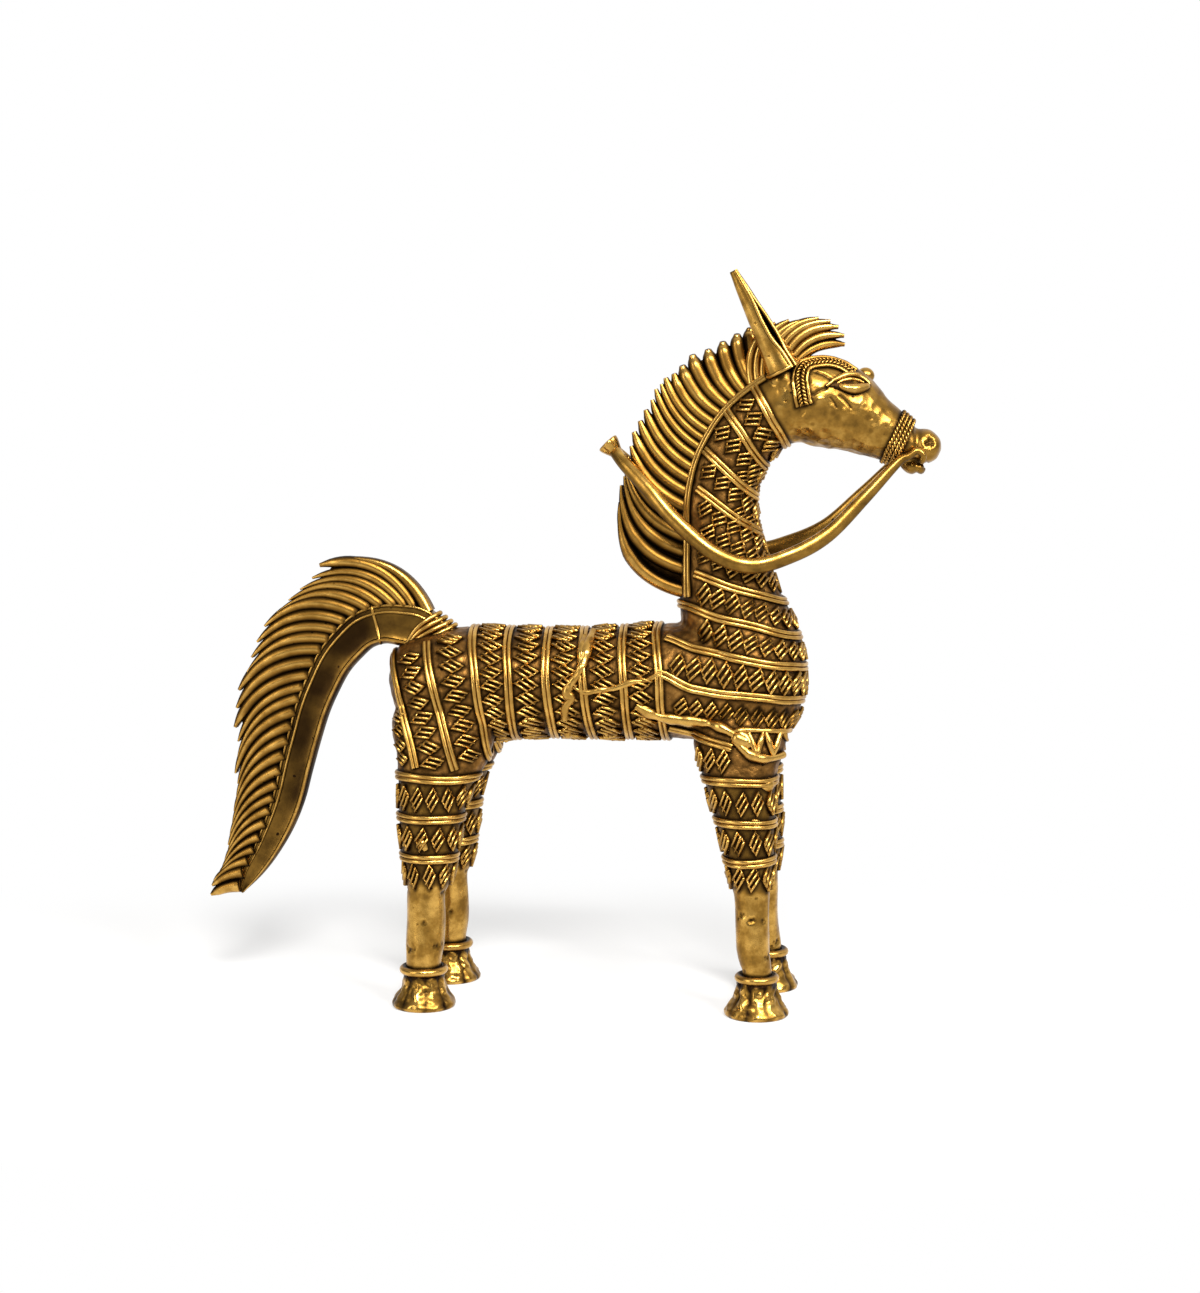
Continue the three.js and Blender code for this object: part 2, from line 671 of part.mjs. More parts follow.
function addLegs() {
  const bandSection = wireSection(2, 2 * wireDiameter, bandRise);
  for (const { name, side, x, stations, bands } of legs) {
    const loft = legLoft(stations, x, side);
    const whole = solidOf(loftGeometry(loft, roundOutline(legSideCount)));
    const leg = whole.intersect(halfSpace(...levelAt(bands[0]), -1, seamGap / 2));
    addPart(`${name}_leg`, geometryOf(leg), brass.rubbed, 0.35);

    const hoofX = x + (side > 0 ? leftLegLead : 0);
    const hoofY = (side * stance) / 2;
    const profile = [
      [0, 0],
      [hoofRimRadius - 0.8, 0],
      [hoofRimRadius, hoofRimHeight * 0.45],
      [hoofRimRadius - 0.5, hoofRimHeight],
      [hoofTopRadius + hoofFlare, hoofHeight * 0.52],
      [hoofTopRadius + 0.2, hoofHeight * 0.85],
      [hoofTopRadius, hoofHeight],
      [0, hoofHeight],
    ].map(([radius, z]) => new THREE.Vector2(radius, z));
    const hoof = new THREE.LatheGeometry(profile, 14).rotateX(Math.PI / 2).translate(hoofX, hoofY, 0);
    addPart(`${name}_hoof`, geometryOf(solidOf(hoof)), brass.rubbed, 0.35);

    const ringRadius = stations[0][2] + wireGap + ringWire / 2;
    const ring = new THREE.TorusGeometry(ringRadius, ringWire / 2, 5, legSideCount);
    ring.translate(hoofX, hoofY, hoofHeight + seamGap + ringWire / 2);
    addPart(`${name}_fetlock_ring`, geometryOf(solidOf(ring)), brass.polished, 0.3);

    bands.forEach((z, i) => {
      const path = ringPath(loft, levelStation(loft, z), legSideCount);
      const band = sweepOnSkin(path, bandSection, wireGap, true);
      addPart(`${name}_band_${i + 1}`, band, brass.polished, 0.3);
    });
  }
}

// The station of an upright loft at a height
function levelStation(loft, z) {
  let [low, high] = [0, loft.last];
  for (let i = 0; i < 30; i++) {
    const middle = (low + high) / 2;
    if (loft.row(middle)[1] < z) low = middle;
    else high = middle;
  }
  return low;
}

function addBands() {
  const section = wireSection(2, 2 * wireDiameter, bandRise);
  const add = (name, ends, from, to, steps) => {
    const path = planePath(skin, ...ends, from, to, steps);
    addPart(name, laid(sweepOnSkin(path, section, wireGap, to - from === 360)), brass.polished, 0.3);
  };
  girths.forEach((ends, i) => add(`girth_band_${i + 1}`, ends, 0, 360, 20));
  collars.forEach((ends, i) => {
    const isSeamRing = ends === trunkSeam;
    const [from, to] = isSeamRing ? [0, 360] : [maneArc, 360 - maneArc];
    add(`neck_band_${i + 1}`, ends, from, to, isSeamRing ? 20 : 12);
  });
  chestBands.forEach((ends, i) => add(`chest_band_${i + 1}`, ends, chestArc, 360 - chestArc, 16));
  // These bands come down over the haunch and end on the top band of the hind leg
  const overLegBand = halfSpace(...levelAt(hindBandHeights[0] + wireDiameter + legBandTilt), 1, wireGap);
  for (const [name, ends, from, to, steps] of [
    ['rump_band', rumpBand, -140, 140, 18],
    ['right_haunch_band', haunchBand, 215, 335, 12],
    ['left_haunch_band', haunchBand, 25, 145, 12],
  ]) {
    const band = sweepOnSkin(planePath(skin, ...ends, from, to, steps), section, wireGap, false);
    addPart(name, geometryOf(solidOf(laid(band)).intersect(overLegBand)), brass.polished, 0.3);
  }
}

// The crest of the neck: the mane, and a double wire along each side of its root
function addMane() {
  const [from, to] = maneStations;
  const root = rootOn(neckLoft, from, to, 1, combSeat);
  const mane = combGeometry({
    root,
    tip: tipsFrom(root, maneLengths, maneDirections),
    bow: alongList(maneBows),
    strands: maneStrandCount,
    rootWidth: maneRootWidth,
    tipWidth: maneTipWidth,
    notch: 0.08,
    rows: 4,
  });
  addPart('mane', seated(mane), brass.rubbed, 0.35);
  const section = wireSection(2, 2 * wireDiameter, bandRise);
  for (const [name, side] of [['right', -1], ['left', 1]]) {
    const places = [from + 0.1, (from + to) / 2, to - 0.1].map((u) => [u, side * maneStripDegrees]);
    const strip = sweepOnSkin(loftPath(neckLoft, places, 16), section, wireGap, false);
    addPart(`${name}_mane_strip`, strip, brass.polished, 0.3);
  }
}

function addForelock() {
  const root = rootOn(neckLoft, headStart + forelockStart, headStart + forelockEnd, 1, combSeat);
  const forelock = combGeometry({
    root,
    tip: tipsFrom(root, forelockLengths, forelockDirections),
    bow: () => 0.25,
    strands: forelockStrandCount,
    rootWidth: forelockRootWidth,
    tipWidth: forelockTipWidth,
    notch: 0.15,
    rows: 4,
  });
  addPart('forelock', seated(forelock), brass.rubbed, 0.35);
}

// A stem with a rolled inner edge and hollow flanks, a plume on its outer edge, and a collar at the rump
function addTail() {
  const half = [[0.94, 0.34], [0.78, 0.62], [0.52, 0.5], [0.05, 0.42], [-0.5, 0.52], [stemOuterEdge, 0.48]];
  const outline = [[1, 0], ...half, ...half.toReversed().map(([cosine, sine]) => [cosine, -sine])];
  const stem = loftGeometry(tailLoft, outline);
  addPart('tail_stem', seated(stem), brass.polished, 0.3);

  const root = rootOn(tailLoft, 1.5, tailLoft.last - 0.4, stemOuterEdge, -seamGap);
  const plume = combGeometry({
    root,
    tip: tipsFrom(root, plumeLengths, plumeDirections),
    bow: alongList(plumeBows),
    strands: plumeStrandCount,
    rootWidth: plumeRootWidth,
    tipWidth: plumeTipWidth,
    notch: 0.1,
    rows: 4,
  });
  addPart('tail_plume', plume, brass.rubbed, 0.35);

  const section = wireSection(collarWireCount, collarWidth, collarRise);
  const collar = sweepOnSkin(ringPath(tailLoft, 1, 16), section, wireGap, true);
  addPart('tail_collar', seated(collar), brass.polished, 0.3);
}

// A folded leaf, open forwards and outwards, standing on the side of the poll
function addEar(name, side) {
  const base = new THREE.Vector3(...earBase).multiply(new THREE.Vector3(1, side, 1));
  const tip = new THREE.Vector3(...earTip).multiply(new THREE.Vector3(1, side, 1));
  const axis = tip.clone().sub(base).normalize();
  const opening = new THREE.Vector3(0.8, side * 0.6, 0).projectOnPlane(axis).normalize();
  const across = new THREE.Vector3().crossVectors(axis, opening);
  const arc = [-130, -95, -60, -25, 25, 60, 95, 130].map(THREE.MathUtils.degToRad);
  const rings = earRadii.map((radius, i) => {
    const middle = base.clone().lerp(tip, i / (earRadii.length - 1));
    const spot = (angle, r) => middle.clone()
      .addScaledVector(opening, -r * earFold * Math.cos(angle))
      .addScaledVector(across, r * Math.sin(angle));
    const inner = Math.max(radius - earWall, radius * 0.35);
    const outside = arc.map((angle) => spot(angle, radius));
    return [...outside, ...arc.toReversed().map((angle) => spot(angle, inner))];
  });
  addPart(`${name}_ear`, seated(skinOver(rings)), brass.polished, 0.3);
}

// An almond eye: a domed ball in a groove, inside a raised lid
function addEye(name, side) {
  const u = headStart + eyeStation;
  const angle = side * THREE.MathUtils.degToRad(eyeDegrees);
  const out = neckLoft.normal(u, angle);
  const ahead = neckLoft.at(u + 0.1, angle).sub(neckLoft.at(u - 0.1, angle)).normalize();
  ahead.applyAxisAngle(out, -side * THREE.MathUtils.degToRad(eyeTilt));
  const up = new THREE.Vector3().crossVectors(out, ahead).normalize();
  const middle = neckLoft.at(u, angle);
  const spot = (share, turn, rise) => middle.clone()
    .addScaledVector(ahead, (share * eyeLength * Math.cos(turn)) / 2)
    .addScaledVector(up, (share * eyeHeight * Math.sin(turn) * (1 - 0.45 * Math.cos(turn) ** 2)) / 2)
    .addScaledVector(out, rise);
  const turns = Array.from({ length: 12 }, (_, k) => (2 * Math.PI * k) / 12);
  const lid = [[1, -1], [1, 0.15], [0.84, 1]];
  const ball = [[0.64, 0.5], [0.4, 0.9], [0.1, 1]];
  const ringOf = ([share, rise]) => turns.map((turn) => spot(share, turn, rise * eyeRise));
  const geometry = skinOver([...lid, ...ball].map(ringOf));
  addPart(`${name}_eye`, seated(geometry), brass.polished, 0.3);
}

function addBridle() {
  const browSection = wireSection(3, 2 * 0.8 * wireDiameter + ropeDiameter, browRise);
  for (const [name, side] of [['right', -1], ['left', 1]]) {
    const places = browPlaces.map(([u, degrees]) => [headStart + u, side * degrees]);
    const band = sweepOnSkin(loftPath(neckLoft, places, 12), browSection, wireGap, false);
    addPart(`${name}_brow_band`, band, brass.polished, 0.3);
  }
  const section = wireSection(3, nosebandWidth, nosebandRise);
  const noseband = sweepOnSkin(ringPath(neckLoft, headStart + nosebandStation, 16), section, wireGap, true);
  addPart('noseband', noseband, brass.polished, 0.3);
}

// One loop of two strips from the corners of the mouth, past the neck, to a flared end behind the mane
function addReins() {
  let reins = null;
  for (const side of [-1, 1]) {
    const rise = side > 0 ? leftReinRise : 0;
    const count = reinPoints.length - 1;
    const curve = new THREE.CatmullRomCurve3(reinPoints.map(([x, y, z], i) => (
      new THREE.Vector3(x, side * y, z + rise * Math.sin((Math.PI * i) / count))
    )));
    const steps = 15;
    const rings = Array.from({ length: steps + 1 }, (_, i) => {
      const t = i / steps;
      const along = curve.getTangentAt(t);
      const up = new THREE.Vector3().crossVectors(along, new THREE.Vector3(0, 1, 0)).normalize();
      const out = new THREE.Vector3().crossVectors(up, along);
      const height = THREE.MathUtils.lerp(reinEndHeight, reinHeight, Math.min(t * 4, 1));
      return roundOutline(8).map(([cosine, sine]) => curve.getPointAt(t)
        .addScaledVector(up, (cosine * height) / 2)
        .addScaledVector(out, (sine * reinWidth) / 2));
    });
    const strip = solidOf(skinOver(rings)).subtract(coreRoom);
    reins = reins ? reins.add(strip) : strip;
  }
  const [endX, , endZ] = reinPoints.at(-1);
  const flare = [
    [0, -3],
    [reinHeight / 2, -3],
    [reinHeight / 2, 1],
    [reinFlareRadius, 5],
    [reinFlareRadius - 0.6, 6],
    [0, 6],
  ].map(([radius, z]) => new THREE.Vector2(radius, z));
  const end = new THREE.LatheGeometry(flare, 10).rotateX(Math.PI / 2).rotateY(reinEndTilt);
  end.translate(endX, 0, endZ);
  addPart('reins', geometryOf(reins.add(solidOf(end))), brass.polished, 0.3);
}

addTrunk();
addNeck();
addHead();
addLegs();
addBands();
addMane();
addForelock();
addTail();
for (const [name, side] of [['right', -1], ['left', 1]]) {
  addEar(name, side);
  addEye(name, side);
}
addBridle();
addReins();

// The figure stands on the floor with its middle over the origin
const box = new THREE.Box3().setFromObject(figure);
const middle = box.getCenter(new THREE.Vector3());
figure.position.set(-middle.x, -middle.y, -box.min.z);
const horse = new THREE.Group().add(figure);

export default horse;
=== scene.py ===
import math
import random

import bmesh
import bpy
import numpy as np
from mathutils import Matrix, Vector, noise
from mathutils.bvhtree import BVHTree
from mathutils.kdtree import KDTree


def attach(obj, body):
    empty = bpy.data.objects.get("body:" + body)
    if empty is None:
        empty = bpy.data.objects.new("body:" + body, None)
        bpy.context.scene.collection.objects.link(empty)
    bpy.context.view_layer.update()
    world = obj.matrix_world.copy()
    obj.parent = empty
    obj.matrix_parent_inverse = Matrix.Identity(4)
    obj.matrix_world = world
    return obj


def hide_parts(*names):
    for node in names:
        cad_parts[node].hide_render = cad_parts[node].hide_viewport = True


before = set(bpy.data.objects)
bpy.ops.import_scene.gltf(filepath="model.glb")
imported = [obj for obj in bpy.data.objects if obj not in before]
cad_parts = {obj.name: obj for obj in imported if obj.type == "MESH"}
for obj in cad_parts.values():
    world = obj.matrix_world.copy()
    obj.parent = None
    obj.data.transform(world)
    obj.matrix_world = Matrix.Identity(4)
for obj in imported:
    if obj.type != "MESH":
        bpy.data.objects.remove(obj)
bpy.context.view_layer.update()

scene = bpy.context.scene
shiftX = 2.72  # mm from the drawing's x to the frame's x
legNames = ("right_hind", "left_hind", "right_fore", "left_fore")
sides = (("right", -1), ("left", 1))


def mm(x, y, z):
    return Vector(((x + shiftX) / 1000, y / 1000, z / 1000))


# Camera: where the photograph was taken from, 0.9 m off and slightly above the back
view = {"azimuth": 6.0, "elevation": 6.0, "distance": 0.9,  # degrees and metres
        "aim": (10.66, 0, 146.3), "lens": 61.1, "sensor": 36.0}  # millimetres


def addCamera():
    data = bpy.data.cameras.new("photoCamera")
    data.sensor_fit = "VERTICAL"
    data.sensor_height = view["sensor"]
    data.lens = view["lens"]
    camera = bpy.data.objects.new("photoCamera", data)
    scene.collection.objects.link(camera)
    a, e = math.radians(view["azimuth"]), math.radians(view["elevation"])
    back = Vector((math.sin(a) * math.cos(e), -math.cos(a) * math.cos(e), math.sin(e)))
    camera.location = mm(*view["aim"]) + back * view["distance"]
    camera.rotation_euler = (-back).to_track_quat("-Z", "Y").to_euler()
    scene.camera = camera


addCamera()
print("camera placed")


# Small tools for meshes and nodes

def makeObject(name, points, edges=(), faces=()):
    mesh = bpy.data.meshes.new(name)
    mesh.from_pydata([tuple(p) for p in points], list(edges), list(faces))
    piece = bpy.data.objects.new(name, mesh)
    scene.collection.objects.link(piece)
    return piece


def addNode(tree, kind, settings=None, inputs=None):
    node = tree.nodes.new(kind)
    for key, value in (settings or {}).items():
        setattr(node, key, value)
    for key, value in (inputs or {}).items():
        if isinstance(value, bpy.types.NodeSocket):
            tree.links.new(value, node.inputs[key])
        else:
            node.inputs[key].default_value = value
    return node


def addMath(tree, operation, *values, clamp=False):
    settings = {"operation": operation, "use_clamp": clamp}
    return addNode(tree, "ShaderNodeMath", settings, dict(enumerate(values))).outputs[0]


def addRange(tree, value, fromRange, toRange=(0.0, 1.0), kind="LINEAR"):
    node = addNode(tree, "ShaderNodeMapRange", {"interpolation_type": kind}, {
        "Value": value, "From Min": fromRange[0], "From Max": fromRange[1],
        "To Min": toRange[0], "To Max": toRange[1]})
    return node.outputs["Result"]


def named(tree, name, kind):
    node = addNode(tree, "GeometryNodeInputNamedAttribute", {"data_type": kind}, {"Name": name})
    return node.outputs["Attribute"]


def newTree(name, inputs):
    tree = bpy.data.node_groups.new(name, "GeometryNodeTree")
    for label, kind in inputs:
        tree.interface.new_socket(name=label, in_out="INPUT", socket_type=kind)
    tree.interface.new_socket(name="Result", in_out="OUTPUT", socket_type="NodeSocketGeometry")
    return tree


def endTree(tree, geometry, finish):
    whole = addNode(tree, "GeometryNodeRealizeInstances", None, {"Geometry": geometry}).outputs["Geometry"]
    dressed = addNode(tree, "GeometryNodeSetMaterial", None, {"Geometry": whole, "Material": finish})
    addNode(tree, "NodeGroupOutput", None, {"Result": dressed.outputs["Geometry"]})
    return tree


def plainMesh(piece):
    graph = bpy.context.evaluated_depsgraph_get()
    mesh = bpy.data.meshes.new_from_object(piece.evaluated_get(graph), depsgraph=graph)
    piece.modifiers.clear()
    old = piece.data
    piece.data = mesh
    bpy.data.meshes.remove(old)
    mesh.name = piece.name
    return piece


def runTree(piece, tree, values):
    modifier = piece.modifiers.new("tree", "NODES")
    modifier.node_group = tree
    sockets = {item.name: item.identifier for item in tree.interface.items_tree if item.in_out == "INPUT"}
    for label, value in values.items():
        modifier[sockets[label]] = value
    return plainMesh(piece)


def setAttribute(piece, name, values, kind="FLOAT"):
    layer = piece.data.attributes.get(name) or piece.data.attributes.new(name, kind, "POINT")
    key = "value" if kind == "FLOAT" else "vector"
    layer.data.foreach_set(key, np.asarray(values, dtype=np.float32).ravel())


def normalsOf(mesh):
    flat = np.empty(len(mesh.vertices) * 3, dtype=np.float32)
    mesh.vertex_normals.foreach_get("vector", flat)
    return flat.reshape(-1, 3)


def smoothRow(rows, u):
    last = len(rows) - 1
    i = min(max(int(math.floor(u)), 0), last - 1)
    t = u - i
    a, b, c, d = (np.array(rows[min(max(k, 0), last)], dtype=float) for k in (i - 1, i, i + 1, i + 2))
    return b + 0.5 * t * (c - a + t * (2 * a - 5 * b + 4 * c - d + t * (3 * (b - c) + d - a)))


def alongList(values):
    rows = [[v] for v in values]
    return lambda s: float(smoothRow(rows, s * (len(rows) - 1))[0])


def smoothPath(points, steps):
    rows = [list(p) for p in points]
    return [Vector(smoothRow(rows, (len(rows) - 1) * i / steps)) for i in range(steps + 1)]


def fade(value, low, high):
    t = min(max((value - low) / (high - low), 0.0), 1.0)
    return t * t * (3 - 2 * t)


def turnsOf(count):
    return [2 * math.pi * k / count for k in range(count)]


def nearest(surface, point):
    return surface.find_nearest(point)[:2]


# The millimetres run at each point of a line, and the stretch of the line where a given run falls
def lengthsAlong(line):
    reach = [0.0]
    for a, b in zip(line, line[1:]):
        reach.append(reach[-1] + (b - a).length * 1000)
    return reach


def spanAt(reach, goal):
    i = min(max(int(np.searchsorted(reach, goal)) - 1, 0), len(reach) - 2)
    return i, (goal - reach[i]) / max(reach[i + 1] - reach[i], 1e-6)


# Materials: one casting metal, rubbed bright where hands reach and dark where they don't; the same
# dark-to-bright scale also carries painted shade and painted highlights

def linear(code):
    channels = [int(code[i:i + 2], 16) / 255 for i in (1, 3, 5)]
    return [c / 12.92 if c <= 0.04045 else ((c + 0.055) / 1.055) ** 2.4 for c in channels] + [1.0]


# The mesh attribute read here is 0 in the dark ground and 1 where the metal is rubbed; it also carries
# painted shade at roots and in hollows, and painted highlights
brassFinishes = {
    # Wire finish: its black roots are painted shade, its bright tops rubbed metal and painted highlight
    "rubbedWireBrass": {  # wax threads cast in brass: bright rounded tops, black at their roots
        "bright": "#D9AB58", "body": "#8E6629", "dark": "#150C04", "roughness": (0.25, 0.5),
        "mottleMm": 6.0, "mottle": 0.35, "grainMm": 0.9, "grain": 0.05,
        "pitMm": 3.0, "pits": 0.25, "bump": 0.12},
    "patinatedGroundBrass": {  # the cast ground between the threads: brown patina with worn gold patches
        "bright": "#C08E48", "body": "#835C2B", "dark": "#180E05", "roughness": (0.28, 0.55),
        "mottleMm": 4.5, "mottle": 0.72, "grainMm": 1.1, "grain": 0.4,
        "pitMm": 3.5, "pits": 0.5, "bump": 0.6},
    "hammeredSheetBrass": {  # smooth parts planished and polished: broad soft patches of gold and brown
        "bright": "#D8AA56", "body": "#97702F", "dark": "#22150A", "roughness": (0.2, 0.44),
        "mottleMm": 7.0, "mottle": 0.6, "grainMm": 1.6, "grain": 0.14,
        "pitMm": 5.0, "pits": 0.6, "bump": 0.2},
}
brassNodes = {  # what the three finishes share
    "mottleDetail": 4.0, "mottleRoughness": 0.6, "grainDetail": 2.0, "grainRoughness": 0.5,
    "pitWhere": (0.5, 0.62), "pitSize": (0.05, 0.22), "pitEdge": (0.0, 0.12), "patchy": (0.35, 0.65),
    "bodyAt": 0.5, "bumpMetres": 0.0006,
}


def makeBrass(name):
    look = brassFinishes[name]
    material = bpy.data.materials.new(name)
    material.use_nodes = True
    tree = material.node_tree
    shader = tree.nodes["Principled BSDF"]
    shader.inputs["Metallic"].default_value = 1.0
    place = addNode(tree, "ShaderNodeTexCoord").outputs["Object"]
    mottle, grain = (addNode(tree, "ShaderNodeTexNoise", None, {
        "Vector": place, "Scale": 1000 / look[kind + "Mm"], "Detail": brassNodes[kind + "Detail"],
        "Roughness": brassNodes[kind + "Roughness"]}).outputs["Fac"] for kind in ("mottle", "grain"))
    cells = addNode(tree, "ShaderNodeTexVoronoi", None, {
        "Vector": place, "Scale": 1000 / look["pitMm"]}).outputs["Distance"]
    pitReach = addRange(tree, mottle, brassNodes["pitWhere"], brassNodes["pitSize"])
    pitDepth = addMath(tree, "SUBTRACT", pitReach, cells)
    pit = addRange(tree, pitDepth, brassNodes["pitEdge"], (0.0, look["pits"]))
    worn = addNode(tree, "ShaderNodeAttribute", {"attribute_name": "worn"}).outputs["Fac"]
    patchy = addRange(tree, mottle, brassNodes["patchy"], (1 - look["mottle"], 1.0))
    clean = addMath(tree, "SUBTRACT", addMath(tree, "MULTIPLY", worn, patchy), pit, clamp=True)
    ramp = addNode(tree, "ShaderNodeValToRGB", None, {"Fac": clean})
    ramp.color_ramp.elements[0].color = linear(look["dark"])
    ramp.color_ramp.elements[1].color = linear(look["bright"])
    ramp.color_ramp.elements.new(brassNodes["bodyAt"]).color = linear(look["body"])
    tree.links.new(ramp.outputs["Color"], shader.inputs["Base Color"])
    smooth, rough = look["roughness"]
    tree.links.new(addRange(tree, clean, (0.0, 1.0), (rough, smooth)), shader.inputs["Roughness"])
    height = addMath(tree, "SUBTRACT", addMath(tree, "MULTIPLY_ADD", grain, look["grain"], mottle), pit)
    bump = addNode(tree, "ShaderNodeBump", None, {
        "Height": height, "Strength": look["bump"], "Distance": brassNodes["bumpMetres"]}).outputs["Normal"]
    tree.links.new(bump, shader.inputs["Normal"])
    return material


wireBrass, groundBrass, sheetBrass = (makeBrass(name) for name in brassFinishes)
print("materials made")


ornaments = []


def finishPiece(piece, material, slotName, *nodes):
    piece.data.materials.clear()
    piece.data.materials.append(material)
    piece.data.polygons.foreach_set("use_smooth", [True] * len(piece.data.polygons))
    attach(piece, "root")
    if nodes:
        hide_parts(*nodes)
    if material is wireBrass:
        ornaments.append(piece)
    return piece


# The core: stations of x, z, half depth and half width in mm, as in the drawing

core = {
    "voxel": 0.0008, "headVoxel": 0.00055, "smoothing": 8, "headSmoothing": 3, "legCut": 94.6,
    "trunk": [
        [-73.2, 118, 0.6, 0.6], [-71.4, 118.5, 12, 11], [-66, 121.2, 20.6, 18], [-58, 125.4, 26, 22],
        [-47, 129, 24.8, 22.3], [-30.5, 130.8, 23, 21.6], [-10, 131.3, 22, 21.2], [10, 131.5, 22.3, 21.4],
        [31, 132.4, 23, 21.8], [48, 132.8, 24, 22.5], [63, 133, 24.5, 22.5], [78, 132.7, 21, 19],
        [88, 132.8, 10, 10]],
    "neck": [
        [72, 107, 8, 8], [72, 115, 18.5, 17.5], [71.5, 127, 22.5, 21.5], [71, 139, 23.6, 22],
        [68.4, 150, 22.9, 20.4], [64.4, 163, 21, 17.6], [61.8, 176, 18.7, 15.6], [60, 190.3, 16.4, 14],
        [59, 204.5, 15.2, 13.2], [60.7, 216.6, 14.7, 13], [64.5, 225.7, 14.7, 13], [70.3, 234.5, 14.7, 13.3]],
    "head": [
        [79, 241.9, 15, 13.8], [89.3, 246.2, 17, 14.5], [99.5, 246.2, 18, 15], [109.8, 242.4, 16.6, 14],
        [119, 237, 13, 11.6], [127.8, 232.4, 10.5, 9.3], [132.7, 230.2, 9.3, 8.3], [137.6, 228.6, 7.2, 7.5],
        [142.6, 228, 6.3, 6.9], [146.3, 227.3, 4.2, 4.8], [147.8, 227, 0.4, 0.4]],
    "hindLeg": [
        [0, 12, 7, 7, 0], [0, 19, 7.2, 7.1, 0.04], [0.5, 26, 8, 7.4, 0.08], [0.8, 36, 8, 7.5, 0.13],
        [0.8, 47, 8, 7.8, 0.2], [1.6, 52.5, 9.3, 8.6, 0.24], [1.9, 61.5, 11.2, 9.8, 0.3],
        [2.5, 78, 13.2, 11.2, 0.43], [4.3, 94.3, 16, 12, 0.62], [6.5, 106, 20.3, 13.2, 0.8],
        [7, 118, 21.3, 12.5, 0.93], [6, 130, 17, 10, 1]],
    "foreLeg": [
        [0, 12, 6, 6, 0], [0, 18, 6, 6, 0.02], [-1.4, 26, 6.6, 6.5, 0.08], [-2, 36, 6.9, 6.7, 0.13],
        [-2.3, 49, 7.4, 7.2, 0.21], [-2.8, 54.3, 8.4, 8, 0.25], [-3.3, 63, 9.9, 9.2, 0.31],
        [-5, 78.4, 11.8, 10.6, 0.44], [-7.4, 95.5, 14.6, 11.9, 0.62], [-8, 108, 18.5, 13, 0.83],
        [-7, 122, 18.5, 11, 1]],
    "stance": 45, "splayTop": 19, "leftLead": 3, "hindX": -59.5, "foreX": 76.5,
    "around": 48, "legAround": 36, "headAround": 56, "headSteps": 6, "softness": 0.5, "slopeStep": 0.1,
    "chin": ((136.5, 0, 220.2), (5.2, 4.6, 3.2), 0.35),  # middle, half sizes and tilt of a lump
    "earSeat": ((84.6, 9.5, 254.6), (5.0, 4.2, 5.0), 0.0), "poleGap": 0.02,
}
headStart = len(core["neck"])


def makeLoft(rows):
    rows = [list(row) + [0] * (5 - len(row)) for row in rows]
    last = len(rows) - 1

    def place(u, cosine, sine):
        x, z, depth, width, y = smoothRow(rows, u)
        x0, z0 = smoothRow(rows, max(u - core["slopeStep"], 0))[:2]
        x1, z1 = smoothRow(rows, min(u + core["slopeStep"], last))[:2]
        across = Vector((z0 - z1, x1 - x0)).normalized() * (depth * cosine)
        return mm(x + across.x, y + width * sine, z + across.y)

    return place, last


def legRows(name):
    kind = "hind" if "hind" in name else "fore"
    side = -1 if name.startswith("right") else 1
    lead = core["leftLead"] if side > 0 else 0
    hoofX = core[kind + "X"]
    rows = []
    for forward, z, depth, width, share in core[kind + "Leg"]:
        spread = core["stance"] + (core["splayTop"] - core["stance"]) * share
        rows.append([hoofX + forward + lead * (1 - share), z, depth, width, side * spread / 2])
    return rows


def tubeFaces(rings, sidesCount, start=0):
    faces = []
    for i in range(rings - 1):
        for j in range(sidesCount):
            a = start + i * sidesCount + j
            b = start + i * sidesCount + (j + 1) % sidesCount
            faces.append((a, b, b + sidesCount, a + sidesCount))
    faces.append(tuple(start + j for j in reversed(range(sidesCount))))
    faces.append(tuple(start + (rings - 1) * sidesCount + j for j in range(sidesCount)))
    return faces


def addLoft(points, faces, rows, outline, perStation=4):
    place, last = makeLoft(rows)
    rings = last * perStation + 1
    start = len(points)
    for i in range(rings):
        points.extend(place(i / perStation, c, s) for c, s in outline)
    faces.extend(tubeFaces(rings, len(outline), start))


def roundOutline(count):
    return [(math.cos(turn), math.sin(turn)) for turn in turnsOf(count)]


def fixNormals(mesh):
    work = bmesh.new()
    work.from_mesh(mesh)
    bmesh.ops.recalc_face_normals(work, faces=work.faces)
    work.to_mesh(mesh)
    work.free()


def fuse(piece, voxel, smoothing):
    fixNormals(piece.data)
    remesh = piece.modifiers.new("fuse", "REMESH")
    remesh.mode = "VOXEL"
    remesh.voxel_size = voxel
    soften = piece.modifiers.new("soften", "SMOOTH")
    soften.factor = core["softness"]
    soften.iterations = smoothing
    return plainMesh(piece)


def addBall(points, faces, middle, halves, tilt, rings=12, around=20):
    start = len(points)
    for i in range(rings + 1):
        polar = math.pi * min(max(i / rings, core["poleGap"]), 1 - core["poleGap"])
        for turn in turnsOf(around):
            x = halves[0] * math.sin(polar) * math.cos(turn)
            y = halves[1] * math.sin(polar) * math.sin(turn)
            z = halves[2] * math.cos(polar)
            x, z = x * math.cos(tilt) + z * math.sin(tilt), z * math.cos(tilt) - x * math.sin(tilt)
            points.append(mm(middle[0] + x, middle[1] + y, middle[2] + z))
    faces.extend(tubeFaces(rings + 1, around, start))


def makeCore():
    points, faces = [], []
    addLoft(points, faces, core["trunk"], roundOutline(core["around"]))
    addLoft(points, faces, core["neck"] + core["head"], roundOutline(core["around"]))
    for name in legNames:
        addLoft(points, faces, legRows(name), roundOutline(core["legAround"]))
    return fuse(makeObject("coreWhole", points, (), faces), core["voxel"], core["smoothing"])


